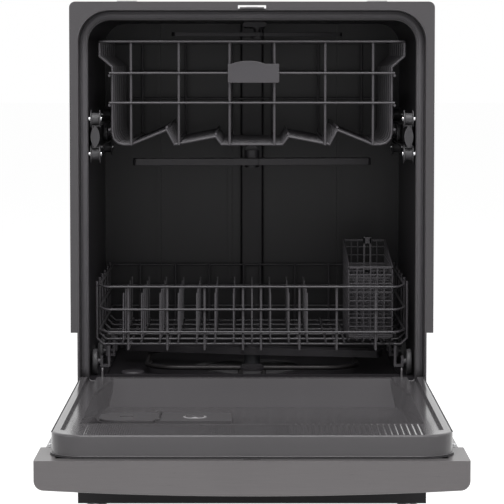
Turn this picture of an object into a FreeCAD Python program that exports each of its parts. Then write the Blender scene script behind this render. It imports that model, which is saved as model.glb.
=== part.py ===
import FreeCAD, Part
import math
import os

# Built-in dishwasher with its door open flat and both racks in.
# Millimetres. X runs to the right, Y runs into the tub, Z is up.
# Origin: on the floor, under the middle of the plane that the tub's front flange lies in.
# Door pieces are drawn in the closed door and swung down when they are saved.
# A cutting tool reaches a little past the faces it cuts.

V = FreeCAD.Vector

# ---------------------------------------------------------------- driving dimensions
# Body
BODY_WIDTH = 598.0          # tub front flange, side to side
BODY_TOP = 851.0            # floor to the top of the flange
LOWER_WIDTH = 576.0         # tub flange below the wide part, and the base frame
WIDE_FROM = 307.0           # height where the wide flange starts
BODY_BACK = 572.0           # flange plane to the back of the base frame
TUB_DEPTH = 540.0           # flange plane to the inside of the back wall
TUB_WALL = 3.0
TUB_FLOOR = 222.0           # height of the tub floor
RIM = 14.0                  # width of the flange's front face
LEDGE = 14.5                # seal ledge beside the mouth
LEDGE_OVER = 16.0           # seal ledge above the mouth
LEDGE_DEPTH = 33.5          # flange plane to the seal ledge
FLANGE_CORNER = 10.0
RECESS_CORNER = 52.0
MOUTH_CORNER = 38.0
TRACK_TOP = 228.4           # running height of the lower rack's wheels
TRACK_WIDTH = 25.5
SILL_FRONT = 37.0           # front face of the sill and apron below the mouth
SILL_TOP = 234.0
BACK_RIBS = (-172.0, -41.0, 160.0)
RIB_WIDTH = 8.0
RIB_DEPTH = 5.0
STRIKE_HALF = 23.0
STRIKE_SLOT_DEPTH = 24.0
STRIKE_SHEET = 2.0
BLANKET = 6.0               # thickness of the felt pads
BLANKET_FOOT = 690.0
GASKET_WIDTH = 12.0
APRON_FOOT = 196.0
STEEL = 1.0                 # sheet of the door skin
PLATE = 3.0                 # plate of the frame and the hinges

# Door, in its closed place
DOOR_WIDTH = 595.0
CONSOLE_WIDTH = 607.0
DOOR_FRONT = -44.5          # front face of the outer panel
DOOR_FOOT = 117.0           # lower edge of the outer panel
DOOR_OVER = 4.0             # top of the console above the tub's flange
CONSOLE_HEIGHT = 131.0
CONSOLE_BOW = 8.5           # how far the console's middle stands in front of its ends
CONSOLE_CORNER = 14.0
SEAM = 1.0                  # gap between console and outer panel
CONSOLE_SKIN = 7.0          # front face of the console to its hollow
POCKET_HALF = 85.0
POCKET_RISE = 6.0           # foot of the console to the hand pocket
POCKET_HEIGHT = 28.0
POCKET_DEPTH = 22.0
BUTTON_DROP = 55.0          # top of the console to the middle of the buttons
BUTTON_PLACES = (-200.0, -160.0, -120.0, -80.0, -40.0)
BUTTON_RADIUS = 8.0
BUTTON_PROUD = 2.2
WINDOW_LEFT = 40.0
WINDOW_RIGHT = 150.0
WINDOW_HALF = 14.0          # half the height of the display window
BOARD_FRONT = -27.0
BOARD_HALF = 225.0
LATCH_Y = -25.0
LATCH_DROP = 18.2           # strike plate to the latch hook's shaft
LATCH_SHAFT = 3.0
DOOR_BACK = -3.0            # plane that faces the tub flange
LINER_WIDTH = 566.0
LINER_GAP = 2.0             # top of the flange's recess to the liner, door closed
LINER_FOOT = 154.0
LINER_DEPTH = 30.0          # how far the liner's rim enters the tub
LINER_CORNER = 50.0
LINER_WALL = 3.0
BASIN_WIDTH = 482.0
BASIN_FLOOR = -5.0
BASIN_HEAD = 120.0          # liner's head to the basin's edge
BASIN_SLOPE = 17.0          # run of the basin's upper wall
BASIN_RAMP_FLOOR = 284.0
BASIN_RAMP_RIM = 178.0
HINGE_Y = -28.0
HINGE_Z = 177.0
HINGE_PIN_RADIUS = 4.0
ARM_HEAD = 560.0
ARM_EYE = 12.5
ARM_TAIL = 46.0
LINER_SCREWS = (240.0, 400.0, 560.0, 700.0)
GROOVE_INSET = 14.5         # wheel groove in the liner, in from the tub's side wall
GROOVE_STOP = 52.0          # liner's head to the end of the groove

# Detergent dispenser, in the closed door
DISPENSER_LEFT = -237.0
DISPENSER_RIGHT = -31.0
DISPENSER_LOW = 396.0
DISPENSER_HIGH = 492.0
DISPENSER_SPLIT = -146.0    # hinge line of the lid
CAP_X = -88.0
CAP_RADIUS = 19.3
DISPENSER_DEPTH = 32.0
LID_BACK = 0.3
LID_THICK = 3.2
LID_MARGIN = 3.0
LID_PIN = 1.5               # radius of the lid's pin
LID_PIN_Y = 3.2
LUG = 8.0
LUG_REACH = 3.5

# Upper rack and its slides
RACK_WIRE = 4.2
RACK_FRAME_WIRE = 3.8
UPPER_FRONT = 36.0
UPPER_BACK = 512.0
UPPER_TOP = 786.0
UPPER_INSET = 18.5          # tub side wall to the middle of the rim wire
UPPER_NARROW = 20.8         # how far the rack narrows below its shoulder
UPPER_SHOULDER_TOP = 762.0
UPPER_SHOULDER_FOOT = 744.0
UPPER_FLOOR = 616.0
UPPER_HOOPS = 8
UPPER_CORNER = 19.0         # size of the hoops' lower corners
UPPER_LONG_WIRES = (37.0, 121.0, 200.0)
UPPER_CROSS_WIRES = (734.0, 685.0)
UPPER_CROSS_OVER = 4.8      # how far the cross wires pass the sides
UPPER_LOW_SIDE_WIRE = 641.0
OUTER_CREST_X = 141.0
OUTER_CREST = 24.0
INNER_CREST_X = 60.0
INNER_CREST = 13.0
RIM_BEND = 14.0
RAIL_BOTTOM = 610.1
RAIL_TOP = 647.9
RAIL_INSET = 5.5            # tub side wall to the rail's outer side
RAIL_WIDTH = 11.6
RAIL_SHEET = 2.0
RAIL_FRONT = 32.5
RAIL_BACK = 533.0
RAIL_CAP_WIDTH = 15.0
RAIL_CAP_LENGTH = 9.0
ROLLER_TREAD = 10.0
ROLLER_FLANGE = 15.0
ROLLER_FLANGE_WIDTH = 1.8
ROLLER_GAP = 0.6            # between a flange and the rail it guides
ROLLER_FRONT = 47.0
STUD_RADIUS = 3.0
STUD_COLLAR = 4.2
STUD_HEAD = 5.0
STUD_NUT = 6.0
ROLLER_BACK = 414.0
RACK_WHEEL_PLACES = (330.0, 455.0)
HANDLE_LEFT = -40.0
HANDLE_RIGHT = 45.0
HANDLE_FOOT = 718.0
HANDLE_SHOULDER = 749.4
HANDLE_ARCH = (-34.0, 22.0)
HANDLE_CROWN = 754.5
HANDLE_THICK = 2.6

# Lower rack
LOWER_FRONT = 41.0
LOWER_BACK = 515.0
LOWER_FRONT_INSET = 27.5    # tub side wall to the ends of the front bars
LOWER_HOOP_INSET = 10.5     # tub side wall to the middle of the side hoops
LOWER_BARS = (303.9, 341.6, 379.5)
LOWER_TOP = 386.0           # top of the hoops
LOWER_FLOOR = 280.0
LOWER_HOOP_PLACES = (80.0, 160.0, 240.0, 320.0, 400.0, 480.0)
LOWER_LONG_WIRES = (15.0, 79.0, 141.0, 206.0)
TINE_WIRE = 3.0
TINE_PITCH = 31.0
TINE_RUNS = 15
TINE_COLUMNS = 11           # runs that carry tines; the others lie under the basket
TINE_HEIGHT = 78.0
TINE_LEAN = 14.0
TINE_ROWS = (95.0, 177.0, 259.0, 341.0, 423.0)
WHEEL_RADIUS = 21.5
WHEEL_WIDTH = 9.0
WHEEL_INSET = 12.0          # tub side wall to a wheel's inner face
LOWER_WHEEL_PLACES = (80.0, 240.0, 320.0, 480.0)
CARRIER_LENGTH = 14.0

# Silverware basket
BASKET_LEFT = 160.5
BASKET_RIGHT = 235.5
BASKET_FRONT = 62.0
BASKET_LENGTH = 260.0
BASKET_TOP = 412.0
BASKET_BACK_TOP = 440.0
BASKET_FLOOR = 10.0
BASKET_CELLS = 4
BASKET_STEP = 30.0          # how far the cross walls stay below the rim
BASKET_WALL = 2.4

# Water side
SUMP_Y = 240.0
SUMP_RADIUS = 90.0
FILTER_INSET = 13.5         # sump wall to the filter cylinder
FILTER_RADIUS = 22.5
LOWER_ARM_Y = 270.0
LOWER_ARM_REACH = 230.0
LOWER_ARM_Z = 243.0
MID_ARM_REACH = 207.0
MID_ARM_TOP = 585.0
TOP_ARM_REACH = 150.0
TOP_ARM_X = 9.0
TOP_ARM_Z = 800.0
HUB_RADIUS = 12.0
MID_HUB_RADIUS = 8.0
MID_FEED_Z = 599.0
FEED_RADIUS = 10.0
FEED_HOOP = 5               # the hoop, counted from the front, that the feed tube hangs from
HEATER_ROD = 8.0
HEATER_HALF = 181.0
HEATER_FRONT = 130.0
HEATER_BACK = 420.0
HEATER_FOOT_X = 20.0
HEATER_BEND = 60.0
HEATER_OVER_FLOOR = 12.0
FLOAT_X = -200.0
FLOAT_Y = 66.0
FLOAT_TUBE = 6.0
FLOAT_ROD = 4.0
FLOAT_RADIUS = 20.0
FLOAT_HEIGHT = 14.0
SUMP_FOOT = 150.0
SUMP_WALL = 3.0
PUMP_Z = 168.0
PUMP_SPIGOT = 30.0
PUMP_OUTLET_DROP = 30.0     # pump axis to the end of its outlet
VOLUTE_WIDTH = 92.0
VOLUTE_LENGTH = 24.0
MOTOR_WIDTH = 78.0
MOTOR_LENGTH = 86.0
DRAIN_PUMP_Z = 170.0
DRAIN_SPIGOT = 26.0
DRAIN_MOTOR_WIDTH = 50.0
DRAIN_MOTOR_LENGTH = 76.0
FILTER_LIP = 1.5            # how far the filter's cap covers the edge of its socket
FILTER_LENGTH = 55.0
SCREEN_PITCH = 20.0
SCREEN_HOLE = 3.0
DUCT_HALF = 21.0
DUCT_DEPTH = 12.0
DUCT_GAP = 5.2              # back wall to the riser
CEILING_DUCT = 8.0          # height of the duct along the ceiling
CEILING_DUCT_HALF = 15.0
PORT_RADIUS = 9.0
PORT_LENGTH = 8.0
HUB_NUT = 11.0
TOP_ARM_TURN = 12.0         # resting turn of each arm, in degrees
LOWER_ARM_TURN = -14.0
MID_ARM_TURN = 4.0
TOP_ARM_WIDTH = 34.0
LOWER_ARM_WIDTH = 52.0
MID_ARM_WIDTH = 46.0
TOP_ARM_THICK = 7.0
ARM_THICK = 12.0
POST_NECK = 9.0             # radius of the lower arm's neck
POST_RADIUS = 14.0
NOZZLE_LENGTH = 8.0
NOZZLE_WIDTH = 3.0

# Base
FRAME_FOOT = 30.0
FRAME_FRONT = 38.0
FRAME_RAIL_HEAD = 110.0
FRAME_RAIL_FOOT = 60.0
KICK_Y = 55.0
KICK_SHEET = 1.2
KICK_HALF = 292.0
KICK_TOP = 108.0
KICK_FOOT = 14.0
KICK_SCREW_X = 240.0
KICK_SCREW_Z = 85.0
FOOT_PLACES = (80.0, 535.0)
FOOT_X = 262.0
HINGE_EYE = 14.0
HINGE_PIN_HEAD = 7.0
KICK_SCREW = 2.0
FOOT_STEM = 5.0
FOOT_PAD = 18.0
LEDGER_WIDTH = 30.0         # how far the frame reaches under the tub's floor
BRACKET_X = 205.0
BRACKET_HALF = 16.0
BRACKET_SHEET = 1.5
BRACKET_HOLE_Y = 16.0
BRACKET_HOLE_RADIUS = 2.4
SPRING_END_Y = 240.0
SPRING_END_Z = 96.0
SPRING_WIDTH = 8.0
DRAIN_X = 206.0
DRAIN_Z = 120.0
DRAIN_RADIUS = 9.5
DRAIN_BORE = 6.0
SPIGOT_INSIDE = 34.0        # length of the spigot in front of the frame's back
SPIGOT_OUTSIDE = 28.0       # length of the barb behind it
VALVE_X = -225.0
VALVE_Y = 120.0
VALVE_Z = 118.0
VALVE_HEIGHT = 34.0
VALVE_NECK = 20.0
INLET_BORE = 9.6
BOX_X = 215.0
BOX_FRONT = 66.0
BOX_Z = 62.0
BOX_SIZE = 60.0
BOX_DEPTH = 70.0
BOX_SHEET = 1.5
KNOCKOUT_RADIUS = 11.1
WIRING_NOTCH = 14.0         # half the notch under the rear crossmember, in line with the junction box

# Clearances
FIT = 0.05                  # radial play of shafts and pins
RUN = 0.3                   # gap between parts that pass each other
SKIM = 0.1                  # gap between crossing wires

# ---------------------------------------------------------------- derived dimensions
BODY_HALF = BODY_WIDTH / 2
LOWER_BODY_HALF = LOWER_WIDTH / 2
RECESS_HALF = BODY_HALF - RIM
RECESS_TOP = BODY_TOP - RIM
MOUTH_HALF = RECESS_HALF - LEDGE
MOUTH_TOP = RECESS_TOP - LEDGE_OVER
TUB_HALF = MOUTH_HALF
DOOR_HEAD = BODY_TOP + DOOR_OVER
CONSOLE_FOOT = DOOR_HEAD - CONSOLE_HEIGHT
POCKET_LOW = CONSOLE_FOOT + POCKET_RISE
POCKET_HIGH = POCKET_LOW + POCKET_HEIGHT
BUTTON_Z = DOOR_HEAD - BUTTON_DROP
LINER_HEAD = RECESS_TOP - LINER_GAP
BASIN_TOP_RIM = LINER_HEAD - BASIN_HEAD
BASIN_TOP_FLOOR = BASIN_TOP_RIM - BASIN_SLOPE
GROOVE_END = LINER_HEAD - GROOVE_STOP
LINER_HALF = LINER_WIDTH / 2
BASIN_HALF = BASIN_WIDTH / 2
PANEL_BACK = DOOR_BACK - LINER_WALL
CONSOLE_INSIDE = DOOR_FRONT + CONSOLE_SKIN
LID_PIN_X = DISPENSER_SPLIT + 1.5
LID_EDGE = LUG_REACH + 2.0                                  # from the pin to the lid's hinged edge
DISPENSER_MIDDLE = (DISPENSER_LOW + DISPENSER_HIGH) / 2
GROOVE_IN = TUB_HALF - GROOVE_INSET
GROOVE_FLOOR = TRACK_TOP - (HINGE_Z - HINGE_Y) - RUN
FRAME_HEAD = HINGE_Z + 14.0
FRAME_PLATE_OUT = LOWER_BODY_HALF - 1.0
FRAME_PLATE_IN = FRAME_PLATE_OUT - PLATE
ARM_IN = FRAME_PLATE_OUT + 2.0
ARM_OUT = ARM_IN + PLATE
RAIL_OUTER = TUB_HALF - RAIL_INSET
RAIL_INNER = RAIL_OUTER - RAIL_WIDTH
RIM_HALF = TUB_HALF - UPPER_INSET
UPPER_BODY_HALF = RIM_HALF - UPPER_NARROW
WIRE_STEP = RACK_WIRE + SKIM                                # two rack wires, crossing
FRAME_STEP = (RACK_WIRE + RACK_FRAME_WIRE) / 2 + SKIM       # a rack wire and a frame wire
SIDE_WIRE_HALF = UPPER_BODY_HALF + WIRE_STEP
WHEEL_ARM_IN = SIDE_WIRE_HALF + RACK_WIRE / 2 + SKIM
WHEEL_ARM_OUT = WHEEL_ARM_IN + PLATE
AXLE_RADIUS = 3.0
LOWER_FRONT_HALF = TUB_HALF - LOWER_FRONT_INSET
LOWER_HOOP_HALF = TUB_HALF - LOWER_HOOP_INSET
LOWER_SIDE_HALF = LOWER_HOOP_HALF - FRAME_STEP
WHEEL_INNER = TUB_HALF - WHEEL_INSET
FILTER_Y = SUMP_Y - SUMP_RADIUS + FILTER_RADIUS + FILTER_INSET
ROLLER_UPPER_Z = RAIL_TOP + ROLLER_TREAD + SKIM
ROLLER_LOWER_Z = RAIL_BOTTOM - ROLLER_TREAD - SKIM
RAIL_MIDDLE = (RAIL_BOTTOM + RAIL_TOP) / 2
RACK_WHEEL_RADIUS = (RAIL_TOP - RAIL_BOTTOM) / 2 - RAIL_SHEET - RUN
WHEEL_Z = TRACK_TOP + WHEEL_RADIUS + RUN
STRIKE_Z = RECESS_TOP + TUB_WALL + 0.2
LATCH_Z = STRIKE_Z - LATCH_DROP
CEILING_DUCT_FOOT = MOUTH_TOP - RUN - CEILING_DUCT
TUB_OUTER = TUB_HALF + TUB_WALL
FLOOR_UNDER = TUB_FLOOR - TUB_WALL
TRACK_IN = TUB_HALF - TRACK_WIDTH
ROLLER_IN = RAIL_INNER - ROLLER_GAP - ROLLER_FLANGE_WIDTH
ROLLER_OUT = RAIL_OUTER + ROLLER_GAP + ROLLER_FLANGE_WIDTH
PUMP_X = SUMP_RADIUS + 16
PUMP_Y = SUMP_Y + 30
DRAIN_PUMP_X = SUMP_RADIUS + 20
DRAIN_PUMP_Y = SUMP_Y + 20
RISER_X = -PUMP_X - 12.0
RISER_Y = PUMP_Y + 60.0
DRAIN_OUTLET_X = DRAIN_PUMP_X + 20
DRAIN_OUTLET_Y = DRAIN_PUMP_Y + 56
SIDES = (-1.0, 1.0)


# ---------------------------------------------------------------- helpers
def box(x0, x1, y0, y1, z0, z1):
    """A box between two limits on each axis."""
    return Part.makeBox(x1 - x0, y1 - y0, z1 - z0, V(x0, y0, z0))


def side_box(side, inner, outer, y0, y1, z0, z1):
    """A box on the left (-1) or right (+1), given by its distances from the middle."""
    low, high = sorted((side * inner, side * outer))
    return box(low, high, y0, y1, z0, z1)


def rod(start, end, diameter):
    """A round bar from one point to another."""
    start, end = V(*start), V(*end)
    return Part.makeCylinder(diameter / 2, (end - start).Length, start, end - start)


def cross_pin(side, inner, outer, y, z, radius):
    """A cylinder along X on one side, given by its distances from the middle."""
    low, high = sorted((side * inner, side * outer))
    return Part.makeCylinder(radius, high - low, V(low, y, z), V(1, 0, 0))


def upright(x, y, z0, z1, radius):
    """A cylinder along Z."""
    return Part.makeCylinder(radius, z1 - z0, V(x, y, z0), V(0, 0, 1))


def prism(points, direction):
    """A closed outline of points, extruded along a direction."""
    corners = [V(*p) for p in points]
    return Part.Face(Part.makePolygon(corners + corners[:1])).extrude(V(*direction))


def arch(half, bottom, top, radius, y0, y1):
    """A slab facing along Y, square at the bottom, with rounded top corners."""
    slab = box(-half, half, y0, y1, bottom, top)
    corners = [
        e
        for e in slab.Edges
        if abs(e.Vertexes[0].Z - top) < 1e-6
        and abs(e.Vertexes[-1].Z - top) < 1e-6
        and abs(e.Vertexes[0].X - e.Vertexes[-1].X) < 1e-6
    ]
    return slab.makeFillet(radius, corners)


def edges_along(shape, axis):
    """The straight edges of a shape that run along an axis."""
    found = []
    for e in shape.Edges:
        if len(e.Vertexes) == 2 and e.Curve.TypeId == "Part::GeomLine":
            way = e.Vertexes[1].Point - e.Vertexes[0].Point
            way.normalize()
            if abs(abs(way.dot(V(*axis))) - 1) < 1e-6:
                found.append(e)
    return found


def rounded(shape, radius, axis):
    """A shape with all its straight edges along an axis rounded."""
    return shape.makeFillet(radius, edges_along(shape, axis))


def ring(outer, inner, height, centre, axis):
    """A tube that starts at a centre and runs along an axis."""
    centre, axis = V(*centre), V(*axis)
    whole = Part.makeCylinder(outer, height, centre, axis)
    return whole.cut(Part.makeCylinder(inner, height + 2, centre - axis, axis))


def bent_wire(points, diameter, bend):
    """Straight rods joined end to end by elbows, each piece a solid of its own."""
    points = [V(*p) for p in points]
    solids = []
    start = points[0]
    for before, corner, after in zip(points, points[1:], points[2:]):
        into = (corner - before).normalize()
        out = (after - corner).normalize()
        turn = into.getAngle(out)
        setback = bend * math.tan(turn / 2)
        end = corner - into * setback
        solids.append(rod(tuple(start), tuple(end), diameter))
        axis = into.cross(out).normalize()
        centre = end + axis.cross(into) * bend
        section = Part.Face(Part.Wire(Part.makeCircle(diameter / 2, end, into)))
        solids.append(section.revolve(centre, axis, math.degrees(turn)))
        start = corner + out * setback
    solids.append(rod(tuple(start), tuple(points[-1]), diameter))
    return solids


def wave_wire(points, diameter):
    """Straight rods through points in a plane across the tub, mitred where they meet."""
    points = [V(*p) for p in points]
    solids = []
    reach = 4 * diameter
    for i in range(len(points) - 1):
        a, b = points[i], points[i + 1]
        along = (b - a).normalize()
        lengthened = [a, b]
        blocks = []
        for end, other, sign in ((0, i - 1, -1), (1, i + 2, 1)):
            if 0 <= other < len(points):
                joint = (a, b)[end]
                onward = (points[other] - joint).normalize()
                plane = (along * sign + onward).normalize()
                lengthened[end] = joint + along * (sign * diameter)
                blocks.append((joint, plane))
        piece = rod(tuple(lengthened[0]), tuple(lengthened[1]), diameter)
        for joint, plane in blocks:
            face = Part.makePlane(reach, reach)
            face.Placement = FreeCAD.Placement(V(0, 0, 0), FreeCAD.Rotation(V(0, 0, 1), plane))
            face.translate(joint - face.CenterOfMass)
            piece = piece.cut(face.extrude(plane * reach))
        solids.append(piece)
    return solids


def opened(solids):
    """Door pieces are made in the closed door, then swung down about the hinge."""
    for solid in solids:
        solid.rotate(V(0, HINGE_Y, HINGE_Z), V(1, 0, 0), 90)
    return solids


def save(name, solids):
    """Writes a node's solids to its STEP file."""
    shape = solids[0] if len(solids) == 1 else Part.makeCompound(solids)
    shape.exportStep("parts/" + name + ".step")
    print(name, len(shape.Solids), round(shape.Volume / 1000, 1), shape.isValid())


# ---------------------------------------------------------------- tub and what is fixed to it


def make_tub():
    """Moulded tub: flange, seal ledge, box, wheel tracks, back ribs, sill and every hole in it."""
    skirt = APRON_FOOT + 9.0
    lip = arch(BODY_HALF, WIDE_FROM, BODY_TOP, FLANGE_CORNER, 0, TUB_WALL)
    lip = lip.fuse(box(-LOWER_BODY_HALF, LOWER_BODY_HALF, 0, TUB_WALL, skirt, WIDE_FROM))
    ledge_back = LEDGE_DEPTH + TUB_WALL
    collar = arch(
        RECESS_HALF + TUB_WALL, skirt, RECESS_TOP + TUB_WALL, RECESS_CORNER + TUB_WALL, 0, ledge_back
    )
    front = lip.fuse(collar).cut(
        arch(RECESS_HALF, skirt - 1, RECESS_TOP, RECESS_CORNER, -1, LEDGE_DEPTH)
    )
    shell = arch(
        TUB_OUTER,
        FLOOR_UNDER,
        MOUTH_TOP + TUB_WALL,
        MOUTH_CORNER + TUB_WALL,
        ledge_back,
        TUB_DEPTH + TUB_WALL,
    )
    tub = front.fuse(shell)
    tub = tub.fuse(box(-TUB_HALF, TUB_HALF, SILL_FRONT, SILL_FRONT + TUB_WALL, APRON_FOOT, SILL_TOP))
    tub = tub.cut(arch(TUB_HALF, TUB_FLOOR, MOUTH_TOP, MOUTH_CORNER, SILL_FRONT + TUB_WALL, TUB_DEPTH))
    tub = tub.cut(arch(TUB_HALF, skirt - 1, MOUTH_TOP, MOUTH_CORNER, LEDGE_DEPTH - 1, SILL_FRONT))
    tub = tub.cut(
        box(
            -TUB_HALF,
            TUB_HALF,
            SILL_FRONT - 1,
            SILL_FRONT + TUB_WALL + 1,
            SILL_TOP,
            MOUTH_TOP - MOUTH_CORNER,
        ),
    )
    tub = tub.cut(
        arch(TUB_HALF, SILL_TOP, MOUTH_TOP, MOUTH_CORNER, SILL_FRONT - 1, SILL_FRONT + TUB_WALL + 1)
    )
    back = TUB_DEPTH
    for side in SIDES:
        track = side_box(side, TRACK_IN, TUB_HALF, SILL_FRONT + TUB_WALL, back, FLOOR_UNDER, TRACK_TOP)
        hollow = side_box(
            side,
            TRACK_IN + TUB_WALL,
            TUB_HALF,
            SILL_FRONT + 2 * TUB_WALL,
            back - TUB_WALL,
            FLOOR_UNDER,
            TRACK_TOP - TUB_WALL,
        )
        tub = tub.fuse(track).cut(hollow)
    for x in BACK_RIBS:
        half = RIB_WIDTH / 2
        tub = tub.fuse(box(x - half, x + half, back - RIB_DEPTH, back + 0.5, TUB_FLOOR, MOUTH_TOP - 1))
    for side in SIDES:
        notch = side_box(
            side, TRACK_IN, TUB_HALF, SILL_FRONT - 1, SILL_FRONT + TUB_WALL + 1, TRACK_TOP, SILL_TOP + 1
        )
        tub = tub.cut(notch)
    tub = tub.cut(upright(0, SUMP_Y, FLOOR_UNDER - 1, TUB_FLOOR + 1, SUMP_RADIUS))
    tub = tub.cut(upright(FLOAT_X, FLOAT_Y, FLOOR_UNDER - 1, TUB_FLOOR + 1, FLOAT_TUBE))
    for side in SIDES:
        tub = tub.cut(
            upright(
                side * HEATER_FOOT_X, HEATER_FRONT, FLOOR_UNDER - 1, TUB_FLOOR + 1, HEATER_ROD / 2 + FIT
            ),
        )
    tub = tub.cut(box(-STRIKE_HALF, STRIKE_HALF, -1, STRIKE_SLOT_DEPTH, RECESS_TOP - 1, RECESS_TOP + 8))
    for side in SIDES:
        for y in (ROLLER_FRONT, ROLLER_BACK):
            for z in (ROLLER_UPPER_Z, ROLLER_LOWER_Z):
                tub = tub.cut(cross_pin(side, TUB_HALF - 1, TUB_OUTER + 1, y, z, STUD_RADIUS))
    return [tub.removeSplitter()]


def make_tub_gasket():
    """Bulb seal that fills the ledge: straight runs and corners, end to end."""
    front = LINER_DEPTH + RUN
    middle = LEDGE / 2
    bulb = GASKET_WIDTH / 2
    half = RECESS_HALF - middle
    top = RECESS_TOP - middle
    foot = SILL_TOP - 9
    outer = arch(
        half + bulb, foot, top + bulb, RECESS_CORNER - middle + bulb, front, LEDGE_DEPTH
    )
    inner = arch(
        half - bulb, foot - 1, top - bulb, RECESS_CORNER - middle - bulb, front - 1, LEDGE_DEPTH + 1
    )
    seal = outer.cut(inner)
    reach = RECESS_CORNER + bulb
    cuts = [
        box(-half - 9, -half + reach, 0, 60, top - reach, top + 9),
        box(half - reach, half + 9, 0, 60, top - reach, top + 9),
    ]
    straight = seal.cut(cuts[0]).cut(cuts[1]).Solids
    corners = [seal.common(cut) for cut in cuts]
    return straight + [solid for corner in corners for solid in corner.Solids]


def make_sound_blanket():
    """Felt pads on the top and both sides of the tub."""
    margin = 20.0
    y0, y1 = LEDGE_DEPTH + margin, TUB_DEPTH - margin
    top = MOUTH_TOP + TUB_WALL
    half = TUB_HALF - MOUTH_CORNER - 7
    head = top - MOUTH_CORNER - 22
    pads = [box(-half, half, y0, y1, top + RUN, top + RUN + BLANKET)]
    for side in SIDES:
        pads.append(side_box(side, TUB_OUTER + RUN, TUB_OUTER + RUN + BLANKET, y0, y1, BLANKET_FOOT, head))
    return pads


def make_strike_plate():
    """Steel plate above the mouth whose tongue holds the loop that the latch catches."""
    z0 = STRIKE_Z - 0.2
    z1 = z0 + STRIKE_SHEET
    plate = box(-20, 20, 4, LEDGE_DEPTH, z0, z1)
    tongue = box(-9, 9, -20, 4, z0, z1).cut(box(-6, 6, -16, 4, z0 - 1, z1 + 1))
    return [plate.fuse(tongue).removeSplitter()]


def make_roller_studs():
    """A stud for each roller, with a collar at the tub wall, a nut behind it and a riveted end."""
    studs = []
    for side in SIDES:
        for y in (ROLLER_FRONT, ROLLER_BACK):
            for z in (ROLLER_UPPER_Z, ROLLER_LOWER_Z):
                shank = cross_pin(side, ROLLER_IN - 0.5, TUB_OUTER, y, z, STUD_RADIUS)
                collar = cross_pin(side, ROLLER_OUT + RUN, TUB_HALF, y, z, STUD_COLLAR)
                nut = cross_pin(side, TUB_OUTER, TUB_OUTER + 3.5, y, z, STUD_NUT)
                rivet = cross_pin(side, ROLLER_IN - 1.7, ROLLER_IN - 0.5, y, z, STUD_HEAD)
                studs.append(shank.fuse(collar).fuse(nut).fuse(rivet).removeSplitter())
    return studs


def make_rear_water_duct():
    """Pipe up the back wall and along the ceiling, with a port for the middle arm."""
    back = TUB_DEPTH - DUCT_GAP
    front = back - DUCT_DEPTH
    top = MOUTH_TOP - RUN
    riser = rounded(box(-DUCT_HALF, DUCT_HALF, front, back, TUB_FLOOR + 0.2, top), 5.0, (0, 0, 1))
    start = LOWER_ARM_Y - 18
    end = CEILING_DUCT_HALF + TOP_ARM_X
    along = rounded(box(-CEILING_DUCT_HALF, end, start, front, CEILING_DUCT_FOOT, top), 2.5, (0, 1, 0))
    port = Part.makeCylinder(
        PORT_RADIUS, PORT_LENGTH + 1, V(0, front - PORT_LENGTH, MID_FEED_Z), V(0, 1, 0)
    )
    return [riser.fuse(along).fuse(port).removeSplitter()]


def make_top_spray_hub():
    """Stem under the ceiling duct that the top arm turns on, with the nut that holds the arm."""
    foot = TOP_ARM_Z - 4.0
    stem = upright(TOP_ARM_X, LOWER_ARM_Y, foot, CEILING_DUCT_FOOT, HUB_RADIUS / 2)
    nut = upright(TOP_ARM_X, LOWER_ARM_Y, foot - 3.0, foot, HUB_NUT)
    collar = upright(TOP_ARM_X, LOWER_ARM_Y, CEILING_DUCT_FOOT - 3.0, CEILING_DUCT_FOOT, HUB_RADIUS)
    return [stem.fuse(nut).fuse(collar).removeSplitter()]


def spray_arm(x, y, z0, thick, reach, width, bore):
    """A hollow blade with a hub, tapered towards both ends, with slotted nozzles."""
    tip = width * 0.32
    outline = [
        (x - reach, y - tip, z0),
        (x, y - width / 2, z0),
        (x + reach, y - tip, z0),
        (x + reach, y + tip, z0),
        (x, y + width / 2, z0),
        (x - reach, y + tip, z0),
    ]
    blade = rounded(prism(outline, (0, 0, thick)), 6.0, (0, 0, 1))
    blade = blade.fuse(upright(x, y, z0, z0 + thick, width * 0.56))
    half_long, half_wide = NOZZLE_LENGTH / 2, NOZZLE_WIDTH / 2
    for share in (0.38, 0.56, 0.74, 0.92):
        for side in SIDES:
            spot = x + side * reach * share
            low, high = z0 + thick / 2, z0 + thick + 1
            blade = blade.cut(
                box(spot - half_long, spot + half_long, y - half_wide, y + half_wide, low, high)
            )
    return blade.cut(upright(x, y, z0 - 1, z0 + thick + 1, bore)).removeSplitter()


def make_top_spray_arm():
    """Small arm under the ceiling."""
    z0 = TOP_ARM_Z - 4 + RUN
    bore = HUB_RADIUS / 2 + FIT
    arm = spray_arm(TOP_ARM_X, LOWER_ARM_Y, z0, TOP_ARM_THICK, TOP_ARM_REACH, TOP_ARM_WIDTH, bore)
    arm.rotate(V(TOP_ARM_X, LOWER_ARM_Y, 0), V(0, 0, 1), TOP_ARM_TURN)
    return [arm]


def make_lower_spray_arm():
    """Large arm on the sump's post, with a cap that covers the post's end."""
    post_top = LOWER_ARM_Z + ARM_THICK
    cap_radius = 20.0
    arm = spray_arm(
        0, LOWER_ARM_Y, LOWER_ARM_Z, ARM_THICK, LOWER_ARM_REACH, LOWER_ARM_WIDTH, POST_NECK + FIT
    )
    cap = upright(0, LOWER_ARM_Y, post_top + RUN, post_top + 5, cap_radius)
    skirt = ring(cap_radius, cap_radius - 4, 5.0, (0, LOWER_ARM_Y, post_top), (0, 0, 1))
    arm = arm.fuse(skirt).fuse(cap).removeSplitter()
    arm.rotate(V(0, LOWER_ARM_Y, 0), V(0, 0, 1), LOWER_ARM_TURN)
    return [arm]


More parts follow.
